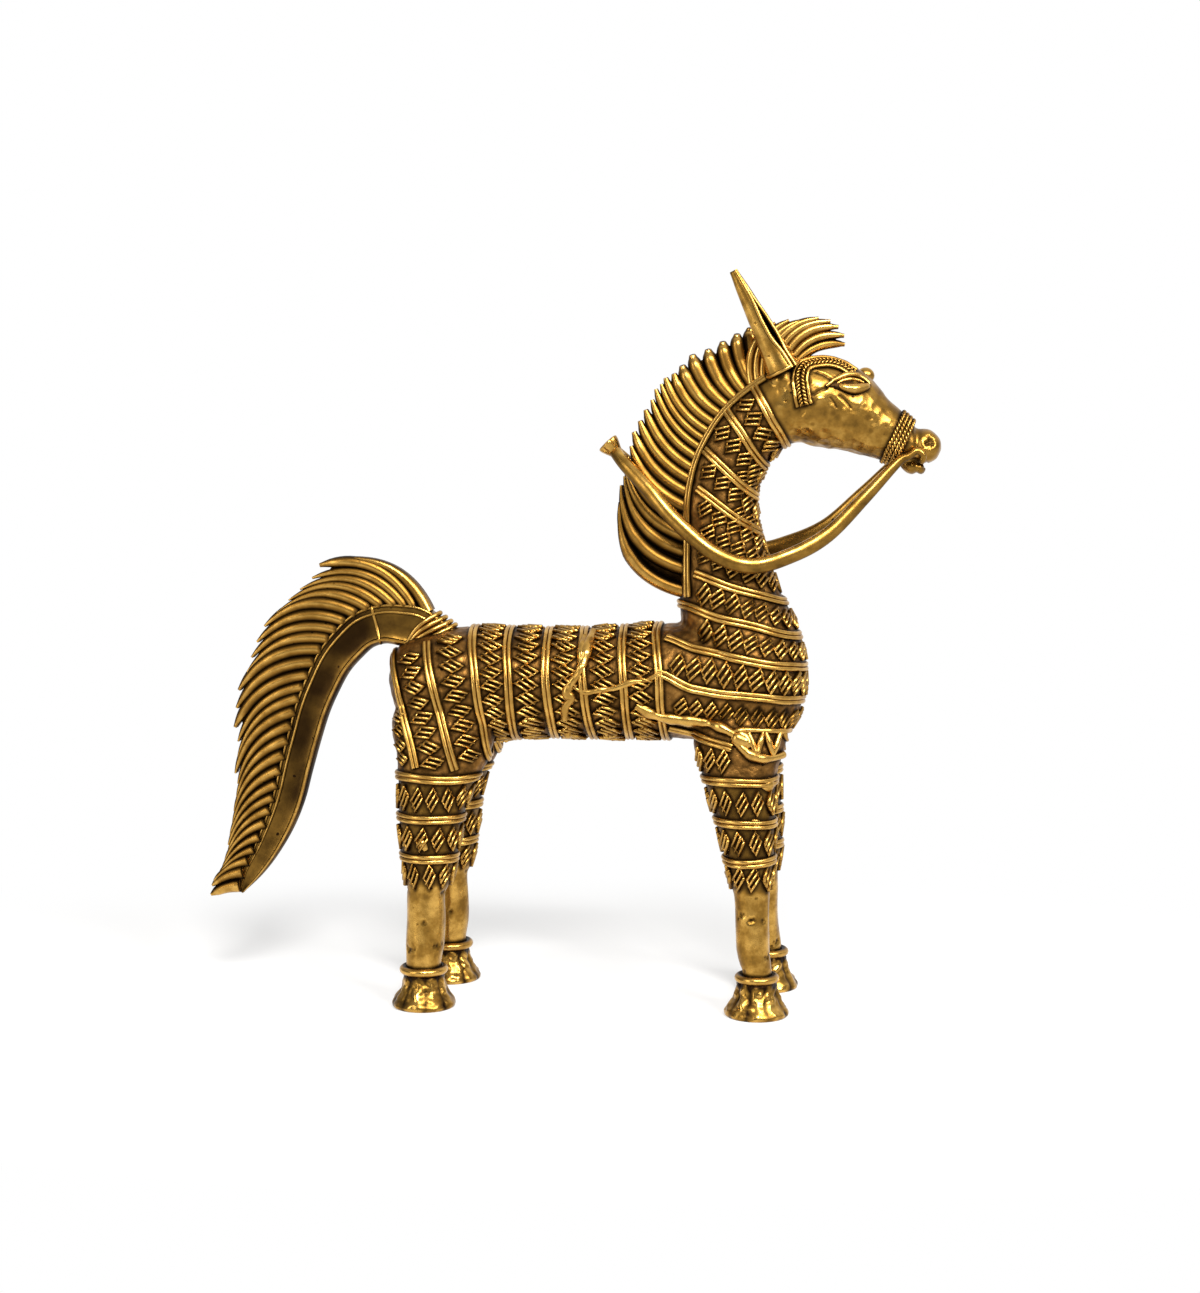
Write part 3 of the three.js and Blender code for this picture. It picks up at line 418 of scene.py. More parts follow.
def makeHeadWhole():
    points, faces = [], []
    addLoft(points, faces, core["neck"] + core["head"], roundOutline(core["headAround"]), core["headSteps"])
    addBall(points, faces, *core["chin"])
    (x, y, z), halves, tilt = core["earSeat"]
    for side in (-1, 1):
        addBall(points, faces, (x, side * y, z), halves, tilt)
    return fuse(makeObject("headWhole", points, (), faces), core["headVoxel"], core["headSmoothing"])


# Hand work on the fused skins: nostrils, mouth, engraved lines, hammer blows, stains and pits
marks = {
    "nostril": (8.05, 69, 1.7, 1.3),  # station, degrees, reach and depth in mm
    "nostrilStray": 1.1, "nostrilDents": 6, "nostrilShare": (0.6, 1.0),
    "mouth": [(132.5, 224.4), (135.5, 223.4), (139, 221.9), (142.6, 220.4)],
    "mouthReach": 1.1, "mouthDepth": 1.1,
    "lines": [[(97.6, 257.7), (100.6, 256.6), (103.8, 254.7)], [(96.6, 248.6), (99.4, 250.4), (102, 251.2)],
              [(107.2, 248.2), (109.4, 246.4), (111.7, 243.6)], [(103.6, 247.6), (105, 245.8), (106, 243.8)]],
    "lineReach": 0.85, "lineDepth": 0.5, "lineSteps": 30, "castFrom": 60,
    "waist": (138.2, 1.2, 1.0), "bulb": (142.8, 2.4, -0.5),  # x, half width and depth round the muzzle
    "blowMm": 4.6, "blowDepth": 1.0, "cheekFrom": (80, 90), "cheekTo": (120, 134), "muzzleCalm": 0.7,
    "forehead": (0.4, 288, 296), "foreheadCalm": 0.5,
    "stains": 26, "stainReach": (0.7, 2.4), "stainDepth": 0.13, "stainDegrees": (70, 165),
    "stainStations": (0.4, 5.0), "stainAndShadePerMm": 4, "fullFrom": 0.3,
    "pits": 9, "pitReach": (0.7, 1.5), "pitDepth": 0.5, "pitStations": (0.6, 4.3), "pitCluster": (1, 4),
    "pitStray": 0.12, "pitTurn": 0.2, "facetMm": 7.0, "facetDepth": 0.7, "facetStretch": 0.3,
    "cannonEdge": (0.05, 0.06), "roughMm": 3.2, "roughDepth": 0.5, "seed": 5,
}


def dent(piece, spots, blows):
    tree = KDTree(len(spots))
    for i, (spot, reach, depth) in enumerate(spots):
        tree.insert(spot, i)
    tree.balance()
    widest = max(reach for spot, reach, depth in spots) / 1000
    moved, marked = [], []
    for v in piece.data.vertices:
        down, mark = blows(v.co), 0.0
        for spot, i, distance in tree.find_range(v.co, widest):
            reach, depth = spots[i][1:]
            share = 1 - fade(distance * 1000, reach * marks["fullFrom"], reach)
            down, mark = max(down, depth * share), max(mark, share * min(depth * marks["stainAndShadePerMm"], 1.0))
        moved.append(v.co - v.normal * (down / 1000))
        marked.append(mark)
    piece.data.vertices.foreach_set("co", np.array(moved, dtype=np.float32).ravel())
    piece.data.update()
    # Each dent is also marked dark by its depth: stains in their own colour, and painted shade in the deeper
    # nostrils, mouth, engraved lines and pits
    setAttribute(piece, "mark", marked)


def headBlows(p):
    x = p.x * 1000 - shiftX
    cell = noise.voronoi(p * (1000 / marks["blowMm"]))[0][0]
    slope, low, high = marks["forehead"]
    cheek = fade(x, *marks["cheekFrom"]) * (1 - marks["muzzleCalm"] * fade(x, *marks["cheekTo"]))
    cheek *= 1 - marks["foreheadCalm"] * fade(p.z * 1000 + slope * x, low, high)
    down = marks["blowDepth"] * cheek * (0.5 - cell)
    for middle, half, depth in (marks["waist"], marks["bulb"]):
        down += depth * math.exp(-((x - middle) / half) ** 2)
    return down


def markHead():
    dice = random.Random(marks["seed"])
    place = makeLoft(core["neck"] + core["head"])[0]
    tree = treeOf(headWhole.data)
    rows = [(marks["mouth"], marks["mouthReach"], marks["mouthDepth"])]
    rows += [(line, marks["lineReach"], marks["lineDepth"]) for line in marks["lines"]]
    spots = []
    for side in (-1, 1):
        station, degrees, reach, depth = marks["nostril"]
        a = math.radians(degrees)
        nostril = place(headStart + station, math.cos(a), side * math.sin(a))
        for i in range(marks["nostrilDents"]):
            stray = Vector([dice.uniform(-1, 1) * marks["nostrilStray"] / 1000 for axis in range(3)])
            spot = tree.find_nearest(nostril + stray)[0]
            spots.append((spot, reach * dice.uniform(*marks["nostrilShare"]), depth))
        for line, reach, depth in rows:
            for p in smoothPath([mm(x, side * marks["castFrom"], z) for x, z in line], marks["lineSteps"]):
                spot = tree.ray_cast(p, Vector((0, -side, 0)))[0]
                if spot is not None:
                    spots.append((spot, reach, depth))
        for i in range(marks["stains"]):
            a = math.radians(dice.uniform(*marks["stainDegrees"]))
            goal = place(headStart + dice.uniform(*marks["stainStations"]), math.cos(a), side * math.sin(a))
            reach = dice.uniform(*marks["stainReach"])
            spots.append((tree.find_nearest(goal)[0], reach, marks["stainDepth"]))
    dent(headWhole, spots, headBlows)


def markLegs():
    dice = random.Random(marks["seed"])
    spots = []
    for name in legNames:
        place = makeLoft(legRows(name))[0]
        for i in range(marks["pits"]):
            u, a = dice.uniform(*marks["pitStations"]), dice.uniform(0, 2 * math.pi)
            for k in range(dice.randint(*marks["pitCluster"])):
                turn = a + marks["pitTurn"] * k
                stray = dice.uniform(-marks["pitStray"], marks["pitStray"])
                reach = dice.uniform(*marks["pitReach"])
                spot = place(u + stray, math.cos(turn), math.sin(turn))
                spots.append((spot, reach, marks["pitDepth"] * reach))

    def facets(p):
        onCannon = 1 - fade(p.z, *marks["cannonEdge"])
        stretched = Vector((p.x, p.y, p.z * marks["facetStretch"]))
        cell = noise.voronoi(stretched * (1000 / marks["facetMm"]))[0][0]
        rough = noise.voronoi(p * (1000 / marks["roughMm"]))[0][0]
        flat = marks["facetDepth"] * (0.5 - cell) * onCannon
        return flat + marks["roughDepth"] * (0.5 - rough) * (1 - onCannon)

    dent(coreWhole, spots, facets)


def treeOf(mesh):
    points = [v.co.copy() for v in mesh.vertices]
    return BVHTree.FromPolygons(points, [tuple(p.vertices) for p in mesh.polygons])


coreWhole = makeCore()
headWhole = makeHeadWhole()
skin = treeOf(coreWhole.data)  # ornament lies on the smooth core, the ground between is rough
markLegs()
markHead()
headSkin = treeOf(headWhole.data)
neckPlace = makeLoft(core["neck"] + core["head"])[0]
print("core fused:", len(coreWhole.data.polygons), "and", len(headWhole.data.polygons), "faces")


# Band planes: two points in the side view, back or mane first

bands = {
    "wire": 0.98, "pitch": 1.8, "sink": 0.42, "sides": 8, "wander": 0.9, "wanderPerMetre": 55,
    "uneven": 0.16, "unevenPerMetre": 110,
    "girths": [[(-41, 156), (-34, 106.3)], [(-26, 156), (-23, 107.5)], [(-10.5, 155), (-7.5, 108)],
               [(4.5, 155), (8.5, 108)], [(20.5, 155.5), (24, 108)], [(34.5, 156.5), (38.5, 107.5)]],
    "collars": [[(72, 254.5), (86.5, 229)], [(61, 244.3), (78, 220)], [(50.5, 230.5), (76.5, 205.5)],
                [(47, 214), (78.5, 191.3)], [(45.5, 179.2), (86, 165.6)], [(43.5, 165), (90.5, 151.8)]],
    "chest": [[(44, 148.6), (95, 139.4)], [(44, 133.4), (93, 126.2)]], "breastLine": [(46, 116), (92, 110)],
    "rump": [(-70, 128), (-61, 96.6)], "haunch": [(-60, 151), (-45.5, 95)],
    "rumpRow": [(-70.2, 121), (-69, 111), (-67.4, 99)],  # a line of lozenges behind the rump band
    "neckArc": 37, "chestArcs": (26, 33.5), "chestLift": (4.6, 3.2), "liftFrom": (36, 51), "rumpTurn": 140,
    "haunchTurns": (("right", 215, 335), ("left", 25, 145)), "floor": 0.0975,  # lowest end in metres
    "hindHeights": [94.3, 78, 61.5], "foreHeights": [95, 78.4, 63],
    "steps": {"girth": 120, "neck": 100, "rump": 110, "haunch": 70, "leg": 70},
    "castFrom": 70, "midGap": 0.006,  # where rays start beside the body, and how near its middle they land
}


def cutAt(mesh, ends, keepAhead):
    (x0, z0), (x1, z1) = ends
    along = Vector((x0 - x1, 0, z0 - z1)).normalized()
    out = Vector((along.z, 0, -along.x))
    work = bmesh.new()
    work.from_mesh(mesh)
    everything = work.verts[:] + work.edges[:] + work.faces[:]
    bmesh.ops.bisect_plane(work, geom=everything, dist=1e-7, plane_co=mm((x0 + x1) / 2, 0, (z0 + z1) / 2),
                           plane_no=out, clear_inner=keepAhead, clear_outer=not keepAhead)
    bmesh.ops.holes_fill(work, edges=[e for e in work.edges if e.is_boundary], sides=0)
    result = bpy.data.meshes.new("cut")
    work.to_mesh(result)
    work.free()
    return result


def keepIsland(mesh, test):
    work = bmesh.new()
    work.from_mesh(mesh)
    bmesh.ops.delete(work, geom=[v for v in work.verts if not test(v.co)], context="VERTS")
    result = bpy.data.meshes.new("island")
    work.to_mesh(result)
    work.free()
    return result


def pieceFrom(name, mesh):
    piece = bpy.data.objects.new(name, mesh)
    mesh.name = name
    scene.collection.objects.link(piece)
    return piece


# Rubbed where nothing stands close by: head and cannons polished, the ground under ornament dark as patina
# and painted shade at the ornament's roots
wearAndShade = {"groundLow": 0.34, "groundHigh": 0.95, "patchMm": 9.0, "reach": (0.2, 1.8), "rootShade": 0.05,
        "cannonTop": 51.0, "edgeWander": 0.0015, "edgePerMetre": 300, "edgeHalf": 0.001, "legShade": 0.5,
        "cannon": (0.78, 0.22), "head": (0.45, 0.5), "markStainAndShade": 0.9, "evenly": 0.55}


def darkenSkins(skins):
    points, faces = [], []
    for piece in ornaments:
        start = len(points)
        points.extend(v.co for v in piece.data.vertices)
        faces.extend([start + i for i in polygon.vertices] for polygon in piece.data.polygons)
    beside = BVHTree.FromPolygons(points, faces)
    near, far = (r / 1000 for r in wearAndShade["reach"])
    low, high = wearAndShade["groundLow"], wearAndShade["groundHigh"]
    for piece, kind in skins:
        worn = []
        marked = np.empty(len(piece.data.vertices), dtype=np.float32)
        piece.data.attributes["mark"].data.foreach_get("value", marked)
        for v, mark in zip(piece.data.vertices, marked):
            distance = beside.find_nearest(v.co, far)[3]
            clear = 1.0 if distance is None else fade(distance, near, far)
            patch = 0.5 + 0.5 * noise.noise(v.co * (1000 / wearAndShade["patchMm"]))
            value = low + (high - low) * patch
            if kind == "leg":
                wander = wearAndShade["edgeWander"] * noise.noise(v.co * wearAndShade["edgePerMetre"])
                edge = wearAndShade["cannonTop"] / 1000 + wander
                bare = 1 - fade(v.co.z, edge - wearAndShade["edgeHalf"], edge + wearAndShade["edgeHalf"])
                value *= wearAndShade["legShade"]
                value += (wearAndShade["cannon"][0] + wearAndShade["cannon"][1] * patch - value) * bare
            elif kind == "head":
                value = wearAndShade["head"][0] + wearAndShade["head"][1] * patch
            # darker at the marks: stains in their own colour and painted shade in the deeper dents
            stainAndDentShade = 1 - wearAndShade["markStainAndShade"] * float(mark)
            worn.append(value * stainAndDentShade * (wearAndShade["rootShade"] + (1 - wearAndShade["rootShade"]) * clear))
        setAttribute(piece, "worn", worn)


def makeSkins():
    level = [(-1, core["legCut"]), (1, core["legCut"])]
    upper = cutAt(coreWhole.data, level, False)
    lower = cutAt(coreWhole.data, level, True)
    if max(v.co.z for v in upper.vertices) < max(v.co.z for v in lower.vertices):
        upper, lower = lower, upper
    seam = bands["collars"][-1]
    trunk = pieceFrom("trunk_skin", cutAt(upper, seam, False))
    neck = pieceFrom("neck_skin", cutAt(cutAt(upper, seam, True), bands["collars"][0], False))
    head = pieceFrom("head_skin", cutAt(headWhole.data, bands["collars"][0], True))
    finishPiece(trunk, groundBrass, "patinated_brass", "trunk")
    finishPiece(neck, groundBrass, "patinated_brass", "neck")
    finishPiece(head, sheetBrass, "polished_brass", "head")
    skins = [(trunk, "ground"), (neck, "ground"), (head, "head")]
    for name in legNames:
        ahead = 1 if "fore" in name else -1
        side = 1 if name.startswith("left") else -1
        leg = pieceFrom(name + "_skin", keepIsland(lower, lambda c: c.x * ahead > 0 and c.y * side > 0))
        finishPiece(leg, sheetBrass, "cast_brass", name + "_leg")
        skins.append((leg, "leg"))
    return skins


skins = makeSkins()
print("skins cut")


# Wires are swept along paths that lie on the skin

def wireTree():
    tree = newTree("layWire", [("Path", "NodeSocketGeometry"), ("Radius", "NodeSocketFloat"),
                               ("Sides", "NodeSocketInt"), ("Finish", "NodeSocketMaterial")])
    given = addNode(tree, "NodeGroupInput").outputs
    curve = addNode(tree, "GeometryNodeMeshToCurve", None, {"Mesh": given["Path"]}).outputs["Curve"]
    radius = addMath(tree, "MULTIPLY", named(tree, "thick", "FLOAT"), given["Radius"])
    profile = addNode(tree, "GeometryNodeCurvePrimitiveCircle", None, {
        "Resolution": given["Sides"], "Radius": 1.0}).outputs["Curve"]
    swept = addNode(tree, "GeometryNodeCurveToMesh", None, {
        "Curve": curve, "Profile Curve": profile, "Scale": radius, "Fill Caps": True}).outputs["Mesh"]
    return endTree(tree, swept, given["Finish"])


layWire = wireTree()


# A path is its points, the way out at each, the share of the thickness at each and whether it is a ring
def openPath(line, shareAt):
    last = len(line) - 1
    shares = [shareAt(i / last) for i in range(last + 1)]
    return [p for p, out in line], [out for p, out in line], shares, False


def ringPath(line):
    return [p for p, out in line], [out for p, out in line], [1.0] * len(line), True


def sweepWires(name, paths, radius, count, rubbed=(0.05, 0.8)):
    points, edges, outs, thick = [], [], [], []
    for path, ways, shares, isRing in paths:
        start = len(points)
        points.extend(path)
        outs.extend(ways)
        thick.extend(shares)
        edges.extend((start + i, start + i + 1) for i in range(len(path) - 1))
        if isRing:
            edges.append((start + len(path) - 1, start))
    piece = makeObject(name, points, edges)
    setAttribute(piece, "thick", thick)
    setAttribute(piece, "out", outs, "FLOAT_VECTOR")
    runTree(piece, layWire, {"Radius": radius / 1000, "Sides": count, "Finish": wireBrass})
    mesh = piece.data
    flat = np.empty(len(mesh.vertices) * 3, dtype=np.float32)
    mesh.attributes["out"].data.foreach_get("vector", flat)
    ways = flat.reshape(-1, 3)
    # faces turned out from the skin are bright and faces turned in towards it dark: rubbed tops, and painted
    # shade at the roots
    facing = (ways * normalsOf(mesh)).sum(axis=1)
    allRound = np.abs(ways).sum(axis=1) < 1e-6  # no way out given: evenly rubbed
    setAttribute(piece, "worn", [wearAndShade["evenly"] if even else fade(float(f), *rubbed)
                                 for f, even in zip(facing, allRound)])
    return piece


# Bright at the top of the relief and dark at its foot: rubbed tops, and painted shade at the roots
def reliefOver(piece, surface, fullHeight):
    heights = []
    for v in piece.data.vertices:
        spot, normal = nearest(surface, v.co)
        lifted = (v.co - spot).dot(normal)
        heights.append(min(max(lifted * 1000 / fullHeight, 0.0), 1.0))
    setAttribute(piece, "worn", heights)


# Rays from a middle point out to the skin, turning from the first way towards the second
def raysRound(middle, first, second, fromDegrees, toDegrees, steps):
    isRing = toDegrees - fromDegrees >= 360
    path = []
    for i in range(steps if isRing else steps + 1):
        angle = math.radians(fromDegrees + (toDegrees - fromDegrees) * i / steps)
        spot, normal = skin.ray_cast(middle, first * math.cos(angle) + second * math.sin(angle))[:2]
        if spot is not None:
            path.append((spot, normal))
    return path, isRing


def ringOnSkin(ends, fromDegrees, toDegrees, steps):
    (x0, z0), (x1, z1) = ends
    middle = mm((x0 + x1) / 2, 0, (z0 + z1) / 2)
    up = Vector((x0 - x1, 0, z0 - z1)).normalized()
    return raysRound(middle, up, Vector((0, 1, 0)), fromDegrees, toDegrees, steps)


def levelRing(name, z, steps, fromDegrees=0, toDegrees=360):
    rows = legRows(name)
    low, high = 0.0, len(rows) - 1.0
    for i in range(30):  # halved until the height is met
        half = (low + high) / 2
        low, high = (half, high) if smoothRow(rows, half)[1] < z else (low, half)
    x, height, depth, width, y = smoothRow(rows, low)
    return raysRound(mm(x, y, height), Vector((1, 0, 0)), Vector((0, 1, 0)), fromDegrees, toDegrees, steps)


# A line laid beside a path on the skin, with the way out at each point
def besidePath(path, isRing, offset, lift, surface, wander=0.0):
    count = len(path)
    laid = []
    for i, (spot, normal) in enumerate(path):
        before = path[(i - 1) % count if isRing else max(i - 1, 0)][0]
        after = path[(i + 1) % count if isRing else min(i + 1, count - 1)][0]
        side = (after - before).cross(normal).normalized()
        stray = wander * noise.noise(spot * bands["wanderPerMetre"])
        near, out = nearest(surface, spot + side * ((offset + stray) / 1000))
        laid.append(near + out * (lift / 1000))
    return laid, [nearest(surface, p)[1] for p in laid]


def doubleWire(name, path, isRing, *nodes):
    lift = bands["wire"] * bands["sink"]
    paths = []
    for offset in (-bands["pitch"] / 2, bands["pitch"] / 2):
        line, outs = besidePath(path, isRing, offset, lift, skin, bands["wander"])
        shares = [1.0 + bands["uneven"] * noise.noise(p * bands["unevenPerMetre"]) for p in line]
        paths.append((line, outs, shares, isRing))
    piece = sweepWires(name, paths, bands["wire"], bands["sides"])
    return finishPiece(piece, wireBrass, "wire_brass", *nodes)


def liftEnds(path, lift):
    laid = []
    for spot, normal in path:
        share = 1 - fade(spot.x * 1000 - shiftX, *bands["liftFrom"])
        laid.append(nearest(skin, spot + Vector((0, 0, lift * share / 1000))))
    return laid


def aboveFloor(path):
    return [(p, n) for p, n in path if p.z > bands["floor"]]


def bandHeights(name):
    return bands["hindHeights"] if "hind" in name else bands["foreHeights"]


def makeBands():
    steps = bands["steps"]
    for i, ends in enumerate(bands["girths"], 1):
        doubleWire(f"girth_wires_{i}", *ringOnSkin(ends, 0, 360, steps["girth"]), f"girth_band_{i}")
    for i, ends in enumerate(bands["collars"], 1):
        arc = 0 if i == len(bands["collars"]) else bands["neckArc"]
        doubleWire(f"neck_wires_{i}", *ringOnSkin(ends, arc, 360 - arc, steps["neck"]), f"neck_band_{i}")
    for i, (ends, arc, lift) in enumerate(zip(bands["chest"], bands["chestArcs"], bands["chestLift"]), 1):
        path, isRing = ringOnSkin(ends, arc, 360 - arc, steps["neck"])
        doubleWire(f"chest_wires_{i}", liftEnds(path, lift), isRing, f"chest_band_{i}")
    path, isRing = ringOnSkin(bands["rump"], -bands["rumpTurn"], bands["rumpTurn"], steps["rump"])
    doubleWire("rump_wires", aboveFloor(path), isRing, "rump_band")
    for name, low, high in bands["haunchTurns"]:
        path, isRing = ringOnSkin(bands["haunch"], low, high, steps["haunch"])
        doubleWire(f"{name}_haunch_wires", aboveFloor(path), isRing, f"{name}_haunch_band")
    for name in legNames:
        for i, z in enumerate(bandHeights(name), 1):
            doubleWire(f"{name}_wires_{i}", *levelRing(name, z, steps["leg"]), f"{name}_band_{i}")


makeBands()
print("bands laid")


# Lozenges: frames filled with slanting bars, one row in each space between bands

lozenges = {
    "bars": 3, "barWidth": 0.17, "barSpread": 0.06, "frameWidth": 0.1, "frameHeight": 0.5, "overrun": 0.05,
    "section": [(-0.5, -0.5), (-0.45, 0.5), (-0.2, 0.95), (0.2, 0.95), (0.45, 0.5), (0.5, -0.5)],
    "flank": (10.2, 6.1, 1.55), "neck": (8.6, 6.6, 1.3), "throat": (7.0, 5.6, 1.1),  # length, width, height
    "chest": (11.0, 6.6, 1.3), "leg": (10.2, 5.6, 1.3), "fringe": (10.8, 5.4, 1.3),
    "rump": (7.4, 5.6, 1.0), "breast": (9.0, 6.2, 1.0),
    "seed": 7, "stray": (7.0, 7.0, 9.0), "clearance": 1.7, "least": 4.0, "shift": 0.45,
    "uneven": 0.2, "unevenPerMetre": 260, "floor": 98.5, "bellyFloor": 106.0, "patch": (66, 92),
    "girthCount": 25, "haunchRow": (10, ((22, 150), (210, 338))), "rumpRow": (8, ((26, 128), (232, 334))),
    "collarRows": ((0, (0.48,)), (1, (0.4,)), (2, (0.4,)), (3, (0.16, 0.44, 0.74))),
    "neckGap": 3, "neckStep": 4, "throatRows": (1, 2), "throatShare": 0.82, "throatTurns": (105, 255),
    "chestTurns": (41, 36, 38),
    "fringeDrop": 6.6, "topRise": 8.5, "outerTurns": {"right": (190, 350), "left": (10, 170)},
    "pitch": {"rump": 5.8, "neck": 6.5, "throat": 6.2, "chest": 6.3, "leg": 6.3, "fringe": 6.2, "top": 6.0},
    "steps": {"girth": 100, "haunch": 90, "rump": 30, "neck": 120, "leg": 90},
    "reliefs": {"trunk": 1.05, "neck": 1.45, "chest": 1.2, "leg": 1.2},  # height in mm at which a lozenge is fully bright: rubbed tops, with painted shade below
}


def lozengeShape():
    left, top, bottom = Vector((-0.5, 0, 0)), Vector((0, 0.5, 0)), Vector((0, -0.5, 0))
    rise, wide = top - left, bottom - left
    section = lozenges["section"]
    points, faces = [], []

    def addBar(start, end, across, width, high):
        base = len(points)
        for middle in (start, end):
            points.extend(middle + across * (u * width) + Vector((0, 0, v * high)) for u, v in section)
        faces.extend(tubeFaces(2, len(section), base))

    for k in range(lozenges["bars"]):
        start = left + rise * ((k + 0.5) / lozenges["bars"] + lozenges["barSpread"] * (k - 1))
        over = wide * lozenges["overrun"] * (1 + k % 2)
        addBar(start - over, start + wide + over, rise.normalized(), lozenges["barWidth"], 1.0)
    for start in (left, left + wide):
        addBar(start, start + rise, wide.normalized(), lozenges["frameWidth"], lozenges["frameHeight"])
    shape = makeObject("lozengeShape", points, (), faces)
    fixNormals(shape.data)
    return shape


def lozengeTree():
    tree = newTree("layLozenges", [("Places", "NodeSocketGeometry"), ("Shape", "NodeSocketObject"),
                                   ("Stray", "NodeSocketVector"), ("Seed", "NodeSocketInt"),
                                   ("Finish", "NodeSocketMaterial")])
    given = addNode(tree, "NodeGroupInput").outputs
    out, along, size = (named(tree, name, "FLOAT_VECTOR") for name in ("out", "along", "size"))
    facing = addNode(tree, "FunctionNodeAxesToRotation", {"primary_axis": "Z", "secondary_axis": "X"}, {
        "Primary Axis": out, "Secondary Axis": along}).outputs["Rotation"]
    least = addNode(tree, "ShaderNodeVectorMath", {"operation": "SCALE"}, {
        0: given["Stray"], "Scale": -1.0}).outputs["Vector"]
    stray = addNode(tree, "FunctionNodeRandomValue", {"data_type": "FLOAT_VECTOR"}, {
        "Min": least, "Max": given["Stray"], "Seed": given["Seed"]})
    strayed = [s for s in stray.outputs if s.enabled][0]
    twist = addNode(tree, "FunctionNodeEulerToRotation", None, {"Euler": strayed}).outputs["Rotation"]
    facing = addNode(tree, "FunctionNodeRotateRotation", {"rotation_space": "LOCAL"}, {
        "Rotation": facing, "Rotate By": twist}).outputs["Rotation"]
    shape = addNode(tree, "GeometryNodeObjectInfo", None, {"Object": given["Shape"]}).outputs["Geometry"]
    laid = addNode(tree, "GeometryNodeInstanceOnPoints", None, {
        "Points": given["Places"], "Instance": shape, "Rotation": facing, "Scale": size}).outputs["Instances"]
    return endTree(tree, laid, given["Finish"])


layLozenges = lozengeTree()
lozenge = lozengeShape()


def fromPlane(ends, spot):
    (x0, z0), (x1, z1) = ends
    along = Vector((x1 - x0, z1 - z0)).normalized()
    return abs((spot.x * 1000 - shiftX - x0) * along.y - (spot.z * 1000 - z0) * along.x)


# Places spread evenly along a ring or an arc: a lozenge lies across it, as long as the bands leave room
def placesAlong(path, isRing, count, size, bandsBeside=()):
    if len(path) < 2:
        return []
    spots = [p for p, n in path] + ([path[0][0]] if isRing else [])
    outs = [n for p, n in path] + ([path[0][1]] if isRing else [])
    reach = lengthsAlong(spots)
    places = []
    for k in range(count):
        i, share = spanAt(reach, reach[-1] * (k if isRing else k + 0.5) / count)
        out = outs[i].lerp(outs[i + 1], share).normalized()
        along = (spots[i + 1] - spots[i]).cross(out).normalized()
        spot = spots[i].lerp(spots[i + 1], share)
        room = [2 * (fromPlane(ends, spot) - lozenges["clearance"]) for ends in bandsBeside]
        length = max(min([size[0], *room]), lozenges["least"])
        uneven = lozenges["uneven"] * noise.noise_vector(spot * lozenges["unevenPerMetre"])
        step = (spots[i + 1] - spots[i]).normalized() * uneven.x + along * uneven.y
        spot = spot + step * (lozenges["shift"] / lozenges["uneven"] / 1000)
        places.append((spot, out, along, (length, size[1] * (1 + uneven.z / 2), size[2] * (1 + uneven.x))))
    return places


def rowAlong(path, isRing, pitch, kind, bandsBeside=()):
    line = [p for p, n in path]
    total = sum((b - a).length for a, b in zip(line, line[1:] + (line[:1] if isRing else []))) * 1000
    count = max(int(round(total / lozenges["pitch"][pitch])), 1)
    return placesAlong(path, isRing, count, lozenges[kind], bandsBeside)


def layRows(name, places, fullHeight):
    spots, outs, alongs, sizes = zip(*places)
    piece = makeObject(name, spots)
    sizes = [[s / 1000 for s in size] for size in sizes]
    for key, values in (("out", outs), ("along", alongs), ("size", sizes)):
        setAttribute(piece, key, values, "FLOAT_VECTOR")
    runTree(piece, layLozenges, {"Shape": lozenge, "Stray": [math.radians(d) for d in lozenges["stray"]],
                                 "Seed": lozenges["seed"], "Finish": wireBrass})
    reliefOver(piece, skin, fullHeight)
    finishPiece(piece, wireBrass, "wire_brass")


def between(first, second, share):
    return [tuple(a + (b - a) * share for a, b in zip(p, q)) for p, q in zip(first, second)]


def nearSkin(line, steps, side=-1):
    laid = []
    for p in smoothPath([(x, z, 0) for x, z in line], steps):
        spot, normal = skin.ray_cast(mm(p.x, side * bands["castFrom"], p.y), Vector((0, -side, 0)))[:2]
        if spot is not None and spot.y * side > bands["midGap"]:
            laid.append((spot, normal))
    return laid


# The cast patch on the near shoulder takes the place of the lozenges there
def clearOfPatch(spot):
    left, right = lozenges["patch"]
    return spot.y > 0 or not left < spot.x * 1000 - shiftX < right


